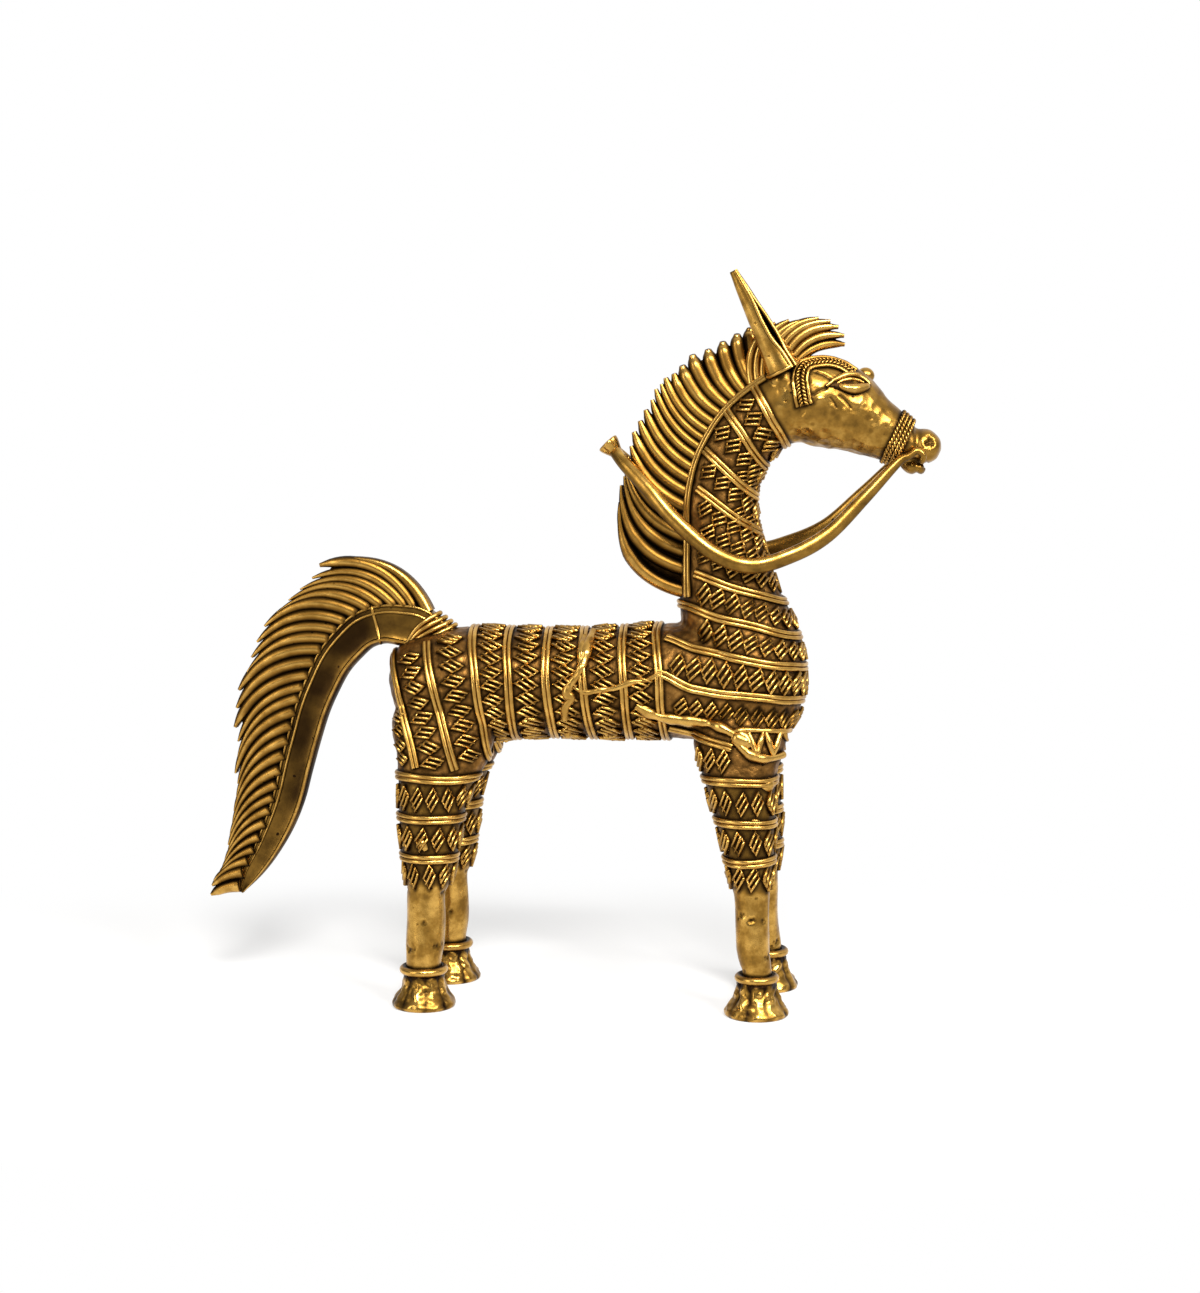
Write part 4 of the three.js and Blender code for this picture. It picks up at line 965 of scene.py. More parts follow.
def makeLozenges():
    girths, chest, collars = bands["girths"], bands["chest"], bands["collars"]
    steps, reliefs = lozenges["steps"], lozenges["reliefs"]
    places = []
    for beside in zip(girths, girths[1:]):
        ring = ringOnSkin(between(*beside, 0.5), 0, 360, steps["girth"])
        places += placesAlong(*ring, lozenges["girthCount"], lozenges["flank"], beside)
    places = [p for p in places if p[0].z * 1000 > lozenges["bellyFloor"]]
    rows = ((bands["haunch"], girths[0], "haunchRow"), (bands["rump"], bands["haunch"], "rumpRow"))
    for first, second, row in rows:
        count, turns = lozenges[row]
        for low, high in turns:
            ring = ringOnSkin(between(first, second, 0.5), low, high, steps["haunch"])
            places += placesAlong(*ring, count, lozenges["flank"], (first, second))
    for side in (-1, 1):
        places += rowAlong(nearSkin(bands["rumpRow"], steps["rump"], side), False, "rump", "rump")
    places = [p for p in places if p[0].z * 1000 > lozenges["floor"]]
    layRows("trunk_lozenges", places, reliefs["trunk"])

    arc = bands["neckArc"] + lozenges["neckGap"]
    places = []
    for a, shares in lozenges["collarRows"]:
        for k, share in enumerate(shares):
            low = arc + lozenges["neckStep"] * (k % 2)
            ring = ringOnSkin(between(collars[a], collars[a + 1], share), low, 360 - low, steps["neck"])
            places += rowAlong(*ring, "neck", "neck")
    for a in lozenges["throatRows"]:  # a second row in front, where the bands spread apart
        line = between(collars[a], collars[a + 1], lozenges["throatShare"])
        ring = ringOnSkin(line, *lozenges["throatTurns"], steps["neck"])
        places += rowAlong(*ring, "throat", "throat")
    beside = (collars[4], collars[5])
    ring = ringOnSkin(between(*beside, 0.5), arc, 360 - arc, steps["neck"])
    places += rowAlong(*ring, "chest", "chest", beside)
    layRows("neck_lozenges", places, reliefs["neck"])

    places = []
    rows = ((collars[5], chest[0]), (chest[0], chest[1]), (chest[1], bands["breastLine"]))
    for beside, low, kind in zip(rows, lozenges["chestTurns"], ("chest", "chest", "breast")):
        ring = ringOnSkin(between(*beside, 0.5), low, 360 - low, steps["neck"])
        places += rowAlong(*ring, "chest", kind, beside)
    layRows("chest_lozenges", places, reliefs["chest"])

    for name in legNames:
        heights = bandHeights(name)
        places = []
        for a, b in zip(heights, heights[1:]):
            places += rowAlong(*levelRing(name, (a + b) / 2, steps["leg"]), "leg", "leg")
        ring = levelRing(name, heights[2] - lozenges["fringeDrop"], steps["leg"])
        places += rowAlong(*ring, "fringe", "fringe")
        side, end = name.split("_")
        if end == "fore":
            turns = lozenges["outerTurns"][side]
            ring = levelRing(name, heights[0] + lozenges["topRise"], steps["leg"], *turns)
            places += [p for p in rowAlong(*ring, "top", "leg") if clearOfPatch(p[0])]
        layRows(f"{name}_lozenges", places, reliefs["leg"])


noise.seed_set(lozenges["seed"])  # the noise vectors differ from run to run without it
makeLozenges()
bpy.data.objects.remove(lozenge)
print("lozenges laid")


# Hooves: fluted bells with a rolled rim, and a wire ring over each

hooves = {
    "profile": [(7.6, 14.4), (8.3, 12.6), (8.6, 10.8), (9.2, 8.6), (10.1, 6.6), (11.4, 4.6), (12.5, 3.0),
                (13.1, 1.5), (12.9, 0.5), (12.3, 0.0)],
    "around": 108, "rows": 36, "top": 14.4, "flutes": 9, "fluteDepth": 0.7, "fluteCurve": 0.7,
    "drift": 0.7, "driftNoise": (1.3, 9, 0.06),  # scale round the hoof, shift to the next hoof, scale down it
    "lumps": 0.8, "lumpNoise": (4.4, 5, 0.5), "worn": 1.05, "creaseWearAndShadeCurve": 0.7, "wornLump": 0.5,
    "shadeBelowRing": (10.5, 13.5),
    "ringZ": 15.3, "ringWire": 1.65, "ringGap": 1.3, "ringAround": 48, "ringSides": 12,
}


def hoofNoise(spot, n, z, settings):
    scale, shift, down = settings
    return noise.noise(spot * scale + Vector((shift * n, 0, z * down)))


def makeHooves():
    around, top = hooves["around"], hooves["top"]
    profile = smoothPath([(r, z, 0) for r, z in hooves["profile"]], hooves["rows"])
    for n, name in enumerate(legNames):
        x, z, depth, width, y = legRows(name)[0]
        points, worn = [], []
        for p in profile:
            weight = math.sin(math.pi * min(max((top - p.y) / top, 0.0), 1.0)) ** hooves["fluteCurve"]
            for turn in turnsOf(around):
                spot = Vector((math.cos(turn), math.sin(turn), 0))
                drift = hooves["drift"] * hoofNoise(spot, n, p.y, hooves["driftNoise"])
                crease = abs(math.sin(hooves["flutes"] * turn / 2 + n + drift))
                lump = hoofNoise(spot, n, p.y, hooves["lumpNoise"])
                r = p.x - weight * (hooves["fluteDepth"] * (1 - crease) - hooves["lumps"] * lump)
                points.append(mm(x + r * spot.x, y + r * spot.y, max(p.y, 0.0)))
                # flute ridges and lumps rubbed bright, the grooves dark as painted shade; darker towards the
                # top as painted shade below the ring
                rubbed = hooves["worn"] * crease ** hooves["creaseWearAndShadeCurve"] + hooves["wornLump"] * lump
                worn.append(min(max(rubbed - fade(p.y, *hooves["shadeBelowRing"]), 0.0), 1.0))
        hoof = makeObject(name + "_bell", points, (), tubeFaces(len(profile), around))
        fixNormals(hoof.data)
        setAttribute(hoof, "worn", worn)
        finishPiece(hoof, sheetBrass, "cast_brass", name + "_hoof")
        ring, reach = [], hooves["ringGap"]
        for turn in turnsOf(hooves["ringAround"]):
            out = Vector((math.cos(turn), math.sin(turn), 0))
            ring.append((mm(x + out.x * (depth + reach), y + out.y * (width + reach), hooves["ringZ"]), out))
        wire = sweepWires(name + "_ring", [ringPath(ring)], hooves["ringWire"], hooves["ringSides"])
        finishPiece(wire, wireBrass, "wire_brass", name + "_fetlock_ring")


makeHooves()
print("hooves and rings made")


# Tail: a hollowed stem with edge wires, and the collar round its root

tail = {
    "stations": [
        [-53, 145.7, 9.2, 8], [-64, 153, 9.8, 8], [-71, 154.8, 9.3, 7.7], [-79.3, 155.2, 8.7, 7.4],
        [-87.6, 152.5, 8.5, 7.2], [-94.3, 146.6, 8.3, 7], [-100.5, 139, 8, 6.8], [-105.7, 129, 7.7, 6.6],
        [-109.7, 119.5, 7.5, 6.4], [-113.3, 107.8, 7.3, 6.2], [-116.9, 95, 7.2, 6], [-120.2, 82.3, 7, 5.6],
        [-124.6, 70.7, 6.5, 5.2], [-130.7, 58.7, 5.4, 4.4], [-136.9, 49, 4, 3.2], [-141.7, 40.4, 0.8, 0.8]],
    "outline": [(1, 0), (0.94, 0.34), (0.78, 0.6), (0.52, 0.5), (0.05, 0.42), (-0.5, 0.5), (-0.87, 0.46),
                (-0.9, 0.0)], "outlineSteps": 35, "perStation": 6,
    "ground": 0.08, "darkest": 0.03, "mottle": 0.28, "mottlePerMetre": 60,
    "rootPale": (0.25, 0.12, 0.3), "tipPale": (0.28, 0.7, 0.95), "edgeWearAndHighlight": (0.3, 0.46, 0.6),
    "edges": [(0.74, 0.58, 1.0), (-0.52, 0.52, 0.85), (-0.82, 0.48, 0.85)],  # cosine, sine, share of the wire
    "edgeWire": 0.85, "edgeFrom": 0.9, "edgeSteps": 120, "edgeInside": 0.6,
    "taper": 0.55, "taperOver": (0.7, 1.0), "rubbed": (0.3, 1.05), "sides": 10,
    "crossAt": 3.3, "crossSpan": (6, 34), "crossShare": 0.9,
    "collarWire": 1.05, "collarAt": [0.56, 0.73, 0.9, 1.07], "collarLean": 0.34, "collarAround": 48,
    "collarReach": (1.02, 0.76),
}
tailPlace, tailLast = makeLoft(tail["stations"])


def makeTail():
    half = smoothPath([(c, s, 0) for c, s in tail["outline"]], tail["outlineSteps"])
    outline = [(p.x, p.y) for p in half] + [(p.x, -p.y) for p in half[-2:0:-1]]
    points, faces = [], []
    addLoft(points, faces, tail["stations"], outline, tail["perStation"])
    stem = makeObject("tail_stem_skin", points, (), faces)
    fixNormals(stem.data)
    rings = tailLast * tail["perStation"] + 1
    (root, *rootOver), (tip, *tipOver) = tail["rootPale"], tail["tipPale"]
    edge, *edgeOver = tail["edgeWearAndHighlight"]
    worn = []
    for i, p in enumerate(points):
        sine = outline[i % len(outline)][1]
        u = i // len(outline) / rings
        pale = root * (1 - fade(u, *rootOver)) + tip * fade(u, *tipOver)
        pale += tail["mottle"] * noise.noise(p * tail["mottlePerMetre"])
        # the rims paler as rubbed metal and painted highlight, the hollow between them dark as painted shade
        worn.append(max(tail["ground"] + pale + edge * fade(abs(sine), *edgeOver), tail["darkest"]))
    setAttribute(stem, "worn", worn)
    finishPiece(stem, sheetBrass, "polished_brass", "tail_stem")
    paths, steps = [], tail["edgeSteps"]
    for c, s, share in tail["edges"]:
        for side in (-1, 1):
            line = []
            for i in range(steps + 1):
                u = tail["edgeFrom"] + (tailLast - 1.0) * i / steps
                spot = tailPlace(u, c, s * side)
                line.append((spot, (spot - tailPlace(u, c * tail["edgeInside"], 0)).normalized()))
            paths.append(openPath(line, lambda t: share * (1 - tail["taper"] * fade(t, *tail["taperOver"]))))
    for side in (-1, 1):
        line = [(tailPlace(tail["crossAt"], c, s * side), Vector((0, side, 0)))
                for c, s in outline[slice(*tail["crossSpan"])]]
        paths.append(openPath(line, lambda t: tail["crossShare"]))
    wires = sweepWires("tail_edge_wires", paths, tail["edgeWire"], tail["sides"], tail["rubbed"])
    finishPiece(wires, wireBrass, "wire_brass")
    rings = []
    across, deep = tail["collarReach"]
    for u in tail["collarAt"]:
        ring = []
        for turn in turnsOf(tail["collarAround"]):
            c, s = math.cos(turn), math.sin(turn)
            spot = tailPlace(u + tail["collarLean"] * c, c * across, s * deep)
            ring.append((spot, (spot - tailPlace(u, 0, 0)).normalized()))
        rings.append(ringPath(ring))
    collar = sweepWires("tail_collar_wires", rings, tail["collarWire"], tail["sides"])
    finishPiece(collar, wireBrass, "wire_brass", "tail_collar")


makeTail()
print("tail made")


# Combed hair: thick threads side by side from a root line to a row of tips, on both faces of a web coloured
# dark as painted shade between them

combs = {
    "mane": {
        "loft": neckPlace, "from": 5.75, "to": 12.3, "edge": 1.0, "sink": 2.5, "count": 20, "crowd": 0.82,
        "width": (12, 5.5), "least": 1.3, "rubbed": (0.72, 1.1), "tip": 0.4, "pointFrom": 0.78,
        "lengths": [46, 35, 30.5, 26, 21.5], "directions": [127, 133, 128, 128, 104],
        "bows": [0.42, 0.24, 0.2, 0.2, 0.15]},
    "forelock": {
        "loft": neckPlace, "from": 12.0, "to": 13.2, "edge": 1.0, "sink": 2.5, "count": 8, "crowd": 1.0,
        "width": (13, 8), "least": 1.9, "rubbed": (0.45, 1.0), "tip": 0.35, "pointFrom": 0.62,
        "lengths": [27, 29, 30.5, 28, 21.5], "directions": [70, 57, 45, 34, 21],
        "bows": [0.36, 0.4, 0.42, 0.4, 0.3]},
    "tail_plume": {
        "loft": tailPlace, "from": 1.0, "to": 14.6, "edge": -0.8, "sink": 0.0, "count": 29, "crowd": 1.0,
        "width": (9, 4.5), "least": 1.1, "rubbed": (0.74, 1.03), "tip": 0.3, "pointFrom": 0.72,
        "lengths": [46, 41, 40, 40, 38.5, 35, 29, 21, 14],
        "directions": [152, 174, 193, 208, 223, 228, 226, 219, 200],
        "bows": [-0.38, -0.38, -0.34, -0.3, -0.3, -0.28, -0.25, -0.2, -0.15]},
}
strand = {"steps": 24, "sides": 10, "fill": 0.62, "most": 3.2, "ragged": 0.06, "seed": 11,
          "pointCurve": 0.55, "tipTurn": 0.8, "tipOver": (0.7, 1.0), "endLightTurn": 0.8,
          "leastOut": 0.4, "webEnd": 0.88, "webShare": 0.3, "webShade": 0.1}


def makeComb(name):
    comb = combs[name]
    dice = random.Random(strand["seed"])
    lengthAt, turnAt, bowAt = (alongList(comb[key]) for key in ("lengths", "directions", "bows"))
    steps, count = strand["steps"], comb["count"]
    lines = []
    for i in range(count):
        s = i / (count - 1)
        u = comb["from"] + (comb["to"] - comb["from"]) * s ** comb["crowd"]
        root = comb["loft"](u, comb["edge"], 0)
        root -= (root - comb["loft"](u, 0, 0)).normalized() * comb["sink"] / 1000
        reach = lengthAt(s) / 1000 * (1 - strand["ragged"] * dice.random())
        turn = math.radians(turnAt(s))
        chord = Vector((math.cos(turn), 0, math.sin(turn))) * reach
        bend = root + chord / 2 + Vector((-chord.z, 0, chord.x)) * bowAt(s)
        lines.append([root * (1 - t) ** 2 + bend * 2 * t * (1 - t) + (root + chord) * t * t
                      for t in (k / steps for k in range(steps + 1))])
    paths = []
    wide, narrow = (w / 2000 for w in comb["width"])
    for i, line in enumerate(lines):
        beside = lines[i + 1] if i + 1 < count else lines[i - 1]
        radii = []
        for k, (p, q) in enumerate(zip(line, beside)):
            t = k / steps
            ahead = (line[min(k + 1, steps)] - line[max(k - 1, 0)]).normalized()
            gap = q - p
            spacing = (gap - ahead * gap.dot(ahead)).length * 1000
            full = min(max(spacing * strand["fill"], comb["least"]), strand["most"])
            point = max(t - comb["pointFrom"], 0) / (1 - comb["pointFrom"])
            radii.append(full * max((1 - point ** 2) ** strand["pointCurve"], comb["tip"]))
        tipWay = (line[-1] - line[-2]).normalized()
        for side in (-1, 0, 1):
            threads, outs = [], []
            for k, p in enumerate(line):
                out = wide + (narrow - wide) * k / steps - radii[k] / 1000
                threads.append(p + Vector((0, side * max(out, strand["leastOut"] * radii[k] / 1000), 0)))
                turned = strand["tipTurn"] * fade(k / steps, *strand["tipOver"])
                way = Vector((0, side, 0)) + tipWay * turned
                # the first and last threads also count as rubbed on their outer faces: painted light along
                # the comb's edges
                if i in (0, count - 1):
                    way += (p - beside[k]).normalized() * strand["endLightTurn"]
                outs.append(way if side else Vector())
            paths.append((threads, outs, radii, False))
    piece = sweepWires(name + "_threads", paths, 1.0, strand["sides"], comb["rubbed"])
    finishPiece(piece, wireBrass, "combed_brass", name)
    keep = int(steps * strand["webEnd"])
    points, faces = [], []
    for side in (-1, 1):
        for line in lines:
            points.extend(p + Vector((0, side * (wide + (narrow - wide) * k / steps) * strand["webShare"], 0))
                          for k, p in enumerate(line[:keep + 1]))
    row, layer = keep + 1, count * (keep + 1)
    for i in range(count - 1):
        for k in range(keep):
            a = i * row + k
            faces.append((a, a + 1, a + row + 1, a + row))
            faces.append((layer + a, layer + a + row, layer + a + row + 1, layer + a + 1))
    loop = [i * row for i in range(count)] + [(count - 1) * row + k for k in range(1, row)]
    loop += [i * row + keep for i in range(count - 2, -1, -1)] + [k for k in range(keep - 1, 0, -1)]
    for a, b in zip(loop, loop[1:] + loop[:1]):
        faces.append((a, b, layer + b, layer + a))
    sheet = makeObject(name + "_web", points, (), faces)
    fixNormals(sheet.data)
    # the web is coloured dark: painted shade between the threads
    setAttribute(sheet, "worn", [strand["webShade"]] * len(points))
    finishPiece(sheet, groundBrass, "combed_brass")


for name in combs:
    makeComb(name)


# The double wire strip along each side of the mane's root
strips = {"turns": (34, 41), "from": 5.6, "reach": 6.8, "steps": 90, "lift": 0.0004, "wire": 1.0, "sides": 8}


def makeStrips():
    steps = strips["steps"]
    for name, side in sides:
        paths = []
        for turn in strips["turns"]:
            a = math.radians(turn)
            line = []
            for i in range(steps + 1):
                u = strips["from"] + strips["reach"] * i / steps
                spot, out = nearest(skin, neckPlace(u, math.cos(a), math.sin(a) * side))
                line.append((spot + out * strips["lift"], out))
            paths.append(openPath(line, lambda t: 1.0))
        wires = sweepWires(f"{name}_mane_wires", paths, strips["wire"], strips["sides"])
        finishPiece(wires, wireBrass, "wire_brass", f"{name}_mane_strip")


makeStrips()
print("hair combed")


# Ears: a leaf folded round its opening, with rolled edges

ears = {
    "base": (85.2, 11, 258.4), "tip": (65, 15, 297.2), "radii": [7.2, 6.0, 5.1, 4.3, 3.5, 2.7, 1.7],
    "sheet": 1.5, "leastInside": 0.35, "flatness": 0.2, "rows": 40, "around": 32, "opening": (0.62, 0.78),
    "wrap": 172, "slitGap": 13, "slitOpens": (0.12, 0.36), "slitCloses": (0.46, 0.76),
    "outside": 0.85, "inside": 0.1, "roll": 0.85, "rollTaper": 0.55, "taperOver": (0.5, 1.0),
    "hemLift": 0.0006, "hemShare": 0.9, "sides": 10,
}


def makeEars():
    radiusAt = alongList(ears["radii"])
    rows, around, flatness = ears["rows"], ears["around"], ears["flatness"]
    for name, side in sides:
        base, tip = (mm(x, side * y, z) for x, y, z in (ears["base"], ears["tip"]))
        axis = (tip - base).normalized()
        front = Vector((ears["opening"][0], side * ears["opening"][1], 0))
        front = (front - axis * front.dot(axis)).normalized()
        across = axis.cross(front)
        points, worn, rims = [], [], ([], [])
        for i in range(rows + 1):
            s = i / rows
            r = radiusAt(s) / 1000
            inner = max(r - ears["sheet"] / 1000, r * ears["leastInside"])
            middle = base.lerp(tip, s)
            slit = fade(s, *ears["slitOpens"]) * (1 - fade(s, *ears["slitCloses"]))
            wrap = ears["wrap"] - ears["slitGap"] * slit
            # the outside of the leaf bright and the inside dark: painted shade in its hollow
            for radius, order, tone in ((r, 1, ears["outside"]), (inner, -1, ears["inside"])):
                for k in range(around + 1):
                    a = math.radians(order * wrap * (2 * k / around - 1))
                    flat = 1 - flatness + flatness * math.cos(a) ** 2
                    way = -front * math.cos(a) * flat + across * math.sin(a)
                    points.append(middle + way * radius)
                    worn.append(tone)
                    if order > 0 and k in (0, around):
                        rims[k // around].append((middle + way * r, way.normalized()))
        leaf = makeObject(f"{name}_ear_leaf", points, (), tubeFaces(rows + 1, 2 * (around + 1)))
        fixNormals(leaf.data)
        setAttribute(leaf, "worn", worn)
        finishPiece(leaf, sheetBrass, "polished_brass", f"{name}_ear")
        paths = [openPath(rim, lambda t: 1 - ears["rollTaper"] * fade(t, *ears["taperOver"])) for rim in rims]
        hem = [leaf.data.vertices[k].co.copy() for k in range(around + 1)]
        hem = [(p + axis * ears["hemLift"], (p - base).normalized()) for p in hem]
        paths.append(openPath(hem, lambda t: ears["hemShare"]))
        edges = sweepWires(f"{name}_ear_edges", paths, ears["roll"], ears["sides"])
        finishPiece(edges, wireBrass, "polished_brass")


makeEars()
print("ears folded")


# Face: almond eyes under rope brow bands, and a braided noseband

face = {
    "eyeAt": (2.7, 55), "eyeStep": 0.6, "eyeLength": 17.2, "eyeHeight": 6.8, "eyeRise": 0.5, "eyeTilt": 37,
    "belly": 0.25, "bellyCurves": (0.75, 1.1), "rows": 14, "columns": 28, "domeCurve": 0.6,
    "eyeSink": 0.0004, "eyeSheet": 0.0012, "eyeShade": 0.02, "glintSpot": (2.6, 0.4, 1.3), "glintPale": 0.6,
    "glintFull": 0.3, "lidSteps": 40, "lidCurve": 0.7, "lidEnd": 0.02, "lidSides": 12,
    "upperLid": 1.2, "upperReach": (1.06, 1.2), "upperThin": 0.5, "upperLift": 0.0006,
    "innerLid": 0.85, "innerLine": (-0.55, 1.3, 0.08, 0.5), "innerThin": 0.6, "innerLift": 0.0005,
    "lowerLid": 2.2, "lowerLine": (-0.5, 1.5, -0.1, -0.62), "lowerThin": 0.3, "lowerLift": 0.0006,
    "knob": ((117.6, 3.6, 256.6), (3.5, 3.2, 3.1), 0.3), "knobWorn": 0.85,
    "brow": [(1.4, 97), (1.3, 76), (1.3, 56), (1.45, 40), (1.85, 31), (2.25, 27), (2.7, 32)],
    "browSteps": 80, "browLift": 0.45, "browWires": (-2.8, 2.8), "browRopes": ((-0.95, -1), (0.95, 1)),
    "browWire": 0.85, "browRubbedAndShaded": (0.25, 1.0), "ropeWire": 0.52, "ropeRadius": 0.5, "ropeTurn": 3.0,
    "perTurn": 12, "ropeSides": 8,
    "noseAt": 5.56, "noseAround": 72, "noseReach": 1.02, "noseLift": 0.4,
    "noseOffsets": (-2.5, -0.85, 0.85, 2.5), "noseRope": 0.54, "noseRadius": 0.8, "noseTurn": 3.4,
    "noseRubbedAndShaded": (0.3, 1.05),
}


def headSpot(station, degrees, side):
    a = math.radians(degrees)
    return nearest(headSkin, neckPlace(headStart + station, math.cos(a), side * math.sin(a)))


# Two threads twisted about a line: each is a helix standing on the skin
def ropePaths(line, outs, isRing, wire, radius, turnMm, hand):
    reach = lengthsAlong(line)
    total = reach[-1] + ((line[0] - line[-1]).length * 1000 if isRing else 0)
    turns = max(round(total / turnMm), 1)
    count = turns * face["perTurn"]
    paths = []
    for phase in (0, math.pi):
        twisted = []
        for i in range(count if isRing else count + 1):
            goal = total * i / count
            if goal > reach[-1]:
                share = (goal - reach[-1]) / max(total - reach[-1], 1e-6)
                spot, out, way = line[-1].lerp(line[0], share), outs[-1], line[0] - line[-1]
            else:
                j, share = spanAt(reach, goal)
                share = min(share, 1.0)
                spot, out = line[j].lerp(line[j + 1], share), outs[j].lerp(outs[j + 1], share)
                way = line[j + 1] - line[j]
            side = way.cross(out).normalized()
            a = hand * 2 * math.pi * turns * i / count + phase
            twisted.append((spot + (side * math.cos(a) + out * math.sin(a)) * (radius / 1000), out))
        spots, ways, shares, closed = ringPath(twisted) if isRing else openPath(twisted, lambda t: 1.0)
        paths.append((spots, ways, [share * wire for share in shares], closed))
    return paths


# An almond with its belly ahead of the middle and a long tail behind
def lidReach(a):
    off = a - face["belly"]
    ahead, behind = face["bellyCurves"]
    share = off / (1 - face["belly"]) if off > 0 else off / (1 + face["belly"])
    return max(1 - share * share, 0.0) ** (ahead if off > 0 else behind)


def makeEye(name, side):
    middle, out = headSpot(*face["eyeAt"], side)
    ahead = headSpot(face["eyeAt"][0] + face["eyeStep"], face["eyeAt"][1], side)[0] - middle
    long = (ahead - out * ahead.dot(out)).normalized()
    high = Vector((0, 0, 1)) - out * out.z
    high = (high - long * high.dot(long)).normalized()
    tilt = math.radians(face["eyeTilt"])
    long, high = long * math.cos(tilt) + high * math.sin(tilt), high * math.cos(tilt) - long * math.sin(tilt)
    halfLong, halfHigh, rise = face["eyeLength"] / 2000, face["eyeHeight"] / 2000, face["eyeRise"] / 1000

    def onEye(a, b, lift):
        spot, normal = nearest(headSkin, middle + long * (a * halfLong) + high * (b * halfHigh))
        return spot + normal * lift, normal

    points, faces, worn = [], [], []
    rows, columns = face["rows"], face["columns"]
    px, pz, pr = face["glintSpot"]
    for i in range(columns + 1):
        a = -1 + 2 * i / columns
        reach = lidReach(a)
        for k in range(rows + 1):
            b = -1 + 2 * k / rows
            dome = max(1 - a * a, 0.0) ** face["domeCurve"] * max(1 - b * b, 0.0) ** face["domeCurve"]
            points.append(onEye(a, b * reach, rise * dome - face["eyeSink"])[0])
            # the ball dark as painted shade between the lids, with a painted highlight spot on it
            off = math.hypot(a * halfLong * 1000 - px, b * reach * halfHigh * 1000 - pz)
            worn.append(face["eyeShade"] + face["glintPale"] * (1 - fade(off, pr * face["glintFull"], pr)))
    for i in range(columns):
        for k in range(rows):
            a = i * (rows + 1) + k
            faces.append((a, a + 1, a + rows + 2, a + rows + 1))
    ball = makeObject(f"{name}_eye_ball", points, (), faces)
    solid = ball.modifiers.new("solid", "SOLIDIFY")
    solid.thickness = face["eyeSheet"]
    solid.offset = 0
    setAttribute(ball, "worn", worn)
    plainMesh(ball)
    fixNormals(ball.data)
    finishPiece(ball, sheetBrass, "polished_brass", f"{name}_eye")

    def lidPoint(t, line, lift):
        start, run, base, bulge = line
        end = face["lidEnd"]
        swell = math.sin(math.pi * min(max(t, end), 1 - end)) ** face["lidCurve"]
        return onEye(start + run * t, base + bulge * swell, lift)

    def thinned(lid, curve):
        least = face[lid + "Thin"]
        return lambda t: face[lid + "Lid"] * (least + (1 - least) * curve(t))

    spread = [i / face["lidSteps"] for i in range(face["lidSteps"] + 1)]
    longer, higher = face["upperReach"]
    upper = [onEye((2 * t - 1) * longer, lidReach(2 * t - 1) * higher, face["upperLift"]) for t in spread]
    inner = [lidPoint(t, face["innerLine"], face["innerLift"]) for t in spread]
    lower = [lidPoint(t, face["lowerLine"], face["lowerLift"]) for t in spread]
    paths = [openPath(upper, thinned("upper", lambda t: lidReach(2 * t - 1))),
             openPath(inner, thinned("inner", lambda t: math.sin(math.pi * t))),
             openPath(lower, thinned("lower", lambda t: max(math.sin(math.pi * t), 0.0) ** face["lidCurve"]))]
    lids = sweepWires(f"{name}_eye_lids", paths, 1.0, face["lidSides"])
    finishPiece(lids, wireBrass, "polished_brass")


def makeBrow(name, side):
    line = smoothPath([headSpot(*place, side)[0] for place in face["brow"]], face["browSteps"])
    path = [nearest(headSkin, p) for p in line]
    threads = []
    for offset in face["browWires"]:
        laid, outs = besidePath(path, False, offset, face["browLift"], headSkin)
        threads.append(openPath(list(zip(laid, outs)), lambda t: face["browWire"]))
    for offset, hand in face["browRopes"]:
        laid, outs = besidePath(path, False, offset, face["browLift"], headSkin)
        threads += ropePaths(laid, outs, False, face["ropeWire"], face["ropeRadius"], face["ropeTurn"], hand)
    band = sweepWires(f"{name}_brow_ropes", threads, 1.0, face["ropeSides"], face["browRubbedAndShaded"])
    finishPiece(band, wireBrass, "wire_brass", f"{name}_brow_band")


def makeFace():
    for name, side in sides:
        makeEye(name, side)
        makeBrow(name, side)

    points, faces = [], []
    addBall(points, faces, *face["knob"])
    knob = makeObject("left_brow_knob", points, (), faces)
    fixNormals(knob.data)
    setAttribute(knob, "worn", [face["knobWorn"]] * len(points))
    finishPiece(knob, sheetBrass, "polished_brass")

    path, reach = [], face["noseReach"]
    for a in turnsOf(face["noseAround"]):
        goal = neckPlace(headStart + face["noseAt"], math.cos(a) * reach, math.sin(a) * reach)
        path.append(nearest(headSkin, goal))
    ropes, radius = [], face["noseRope"] * face["noseRadius"]
    for offset in face["noseOffsets"]:
        laid, outs = besidePath(path, True, offset, face["noseLift"], headSkin)
        ropes += ropePaths(laid, outs, True, face["noseRope"], radius, face["noseTurn"], 1)
    band = sweepWires("noseband_ropes", ropes, 1.0, face["ropeSides"], face["noseRubbedAndShaded"])
    finishPiece(band, wireBrass, "wire_brass", "noseband")


makeFace()
print("face made")


# Reins: two rounded straps in one loop, hooked at the mouth and flared where they meet behind the mane

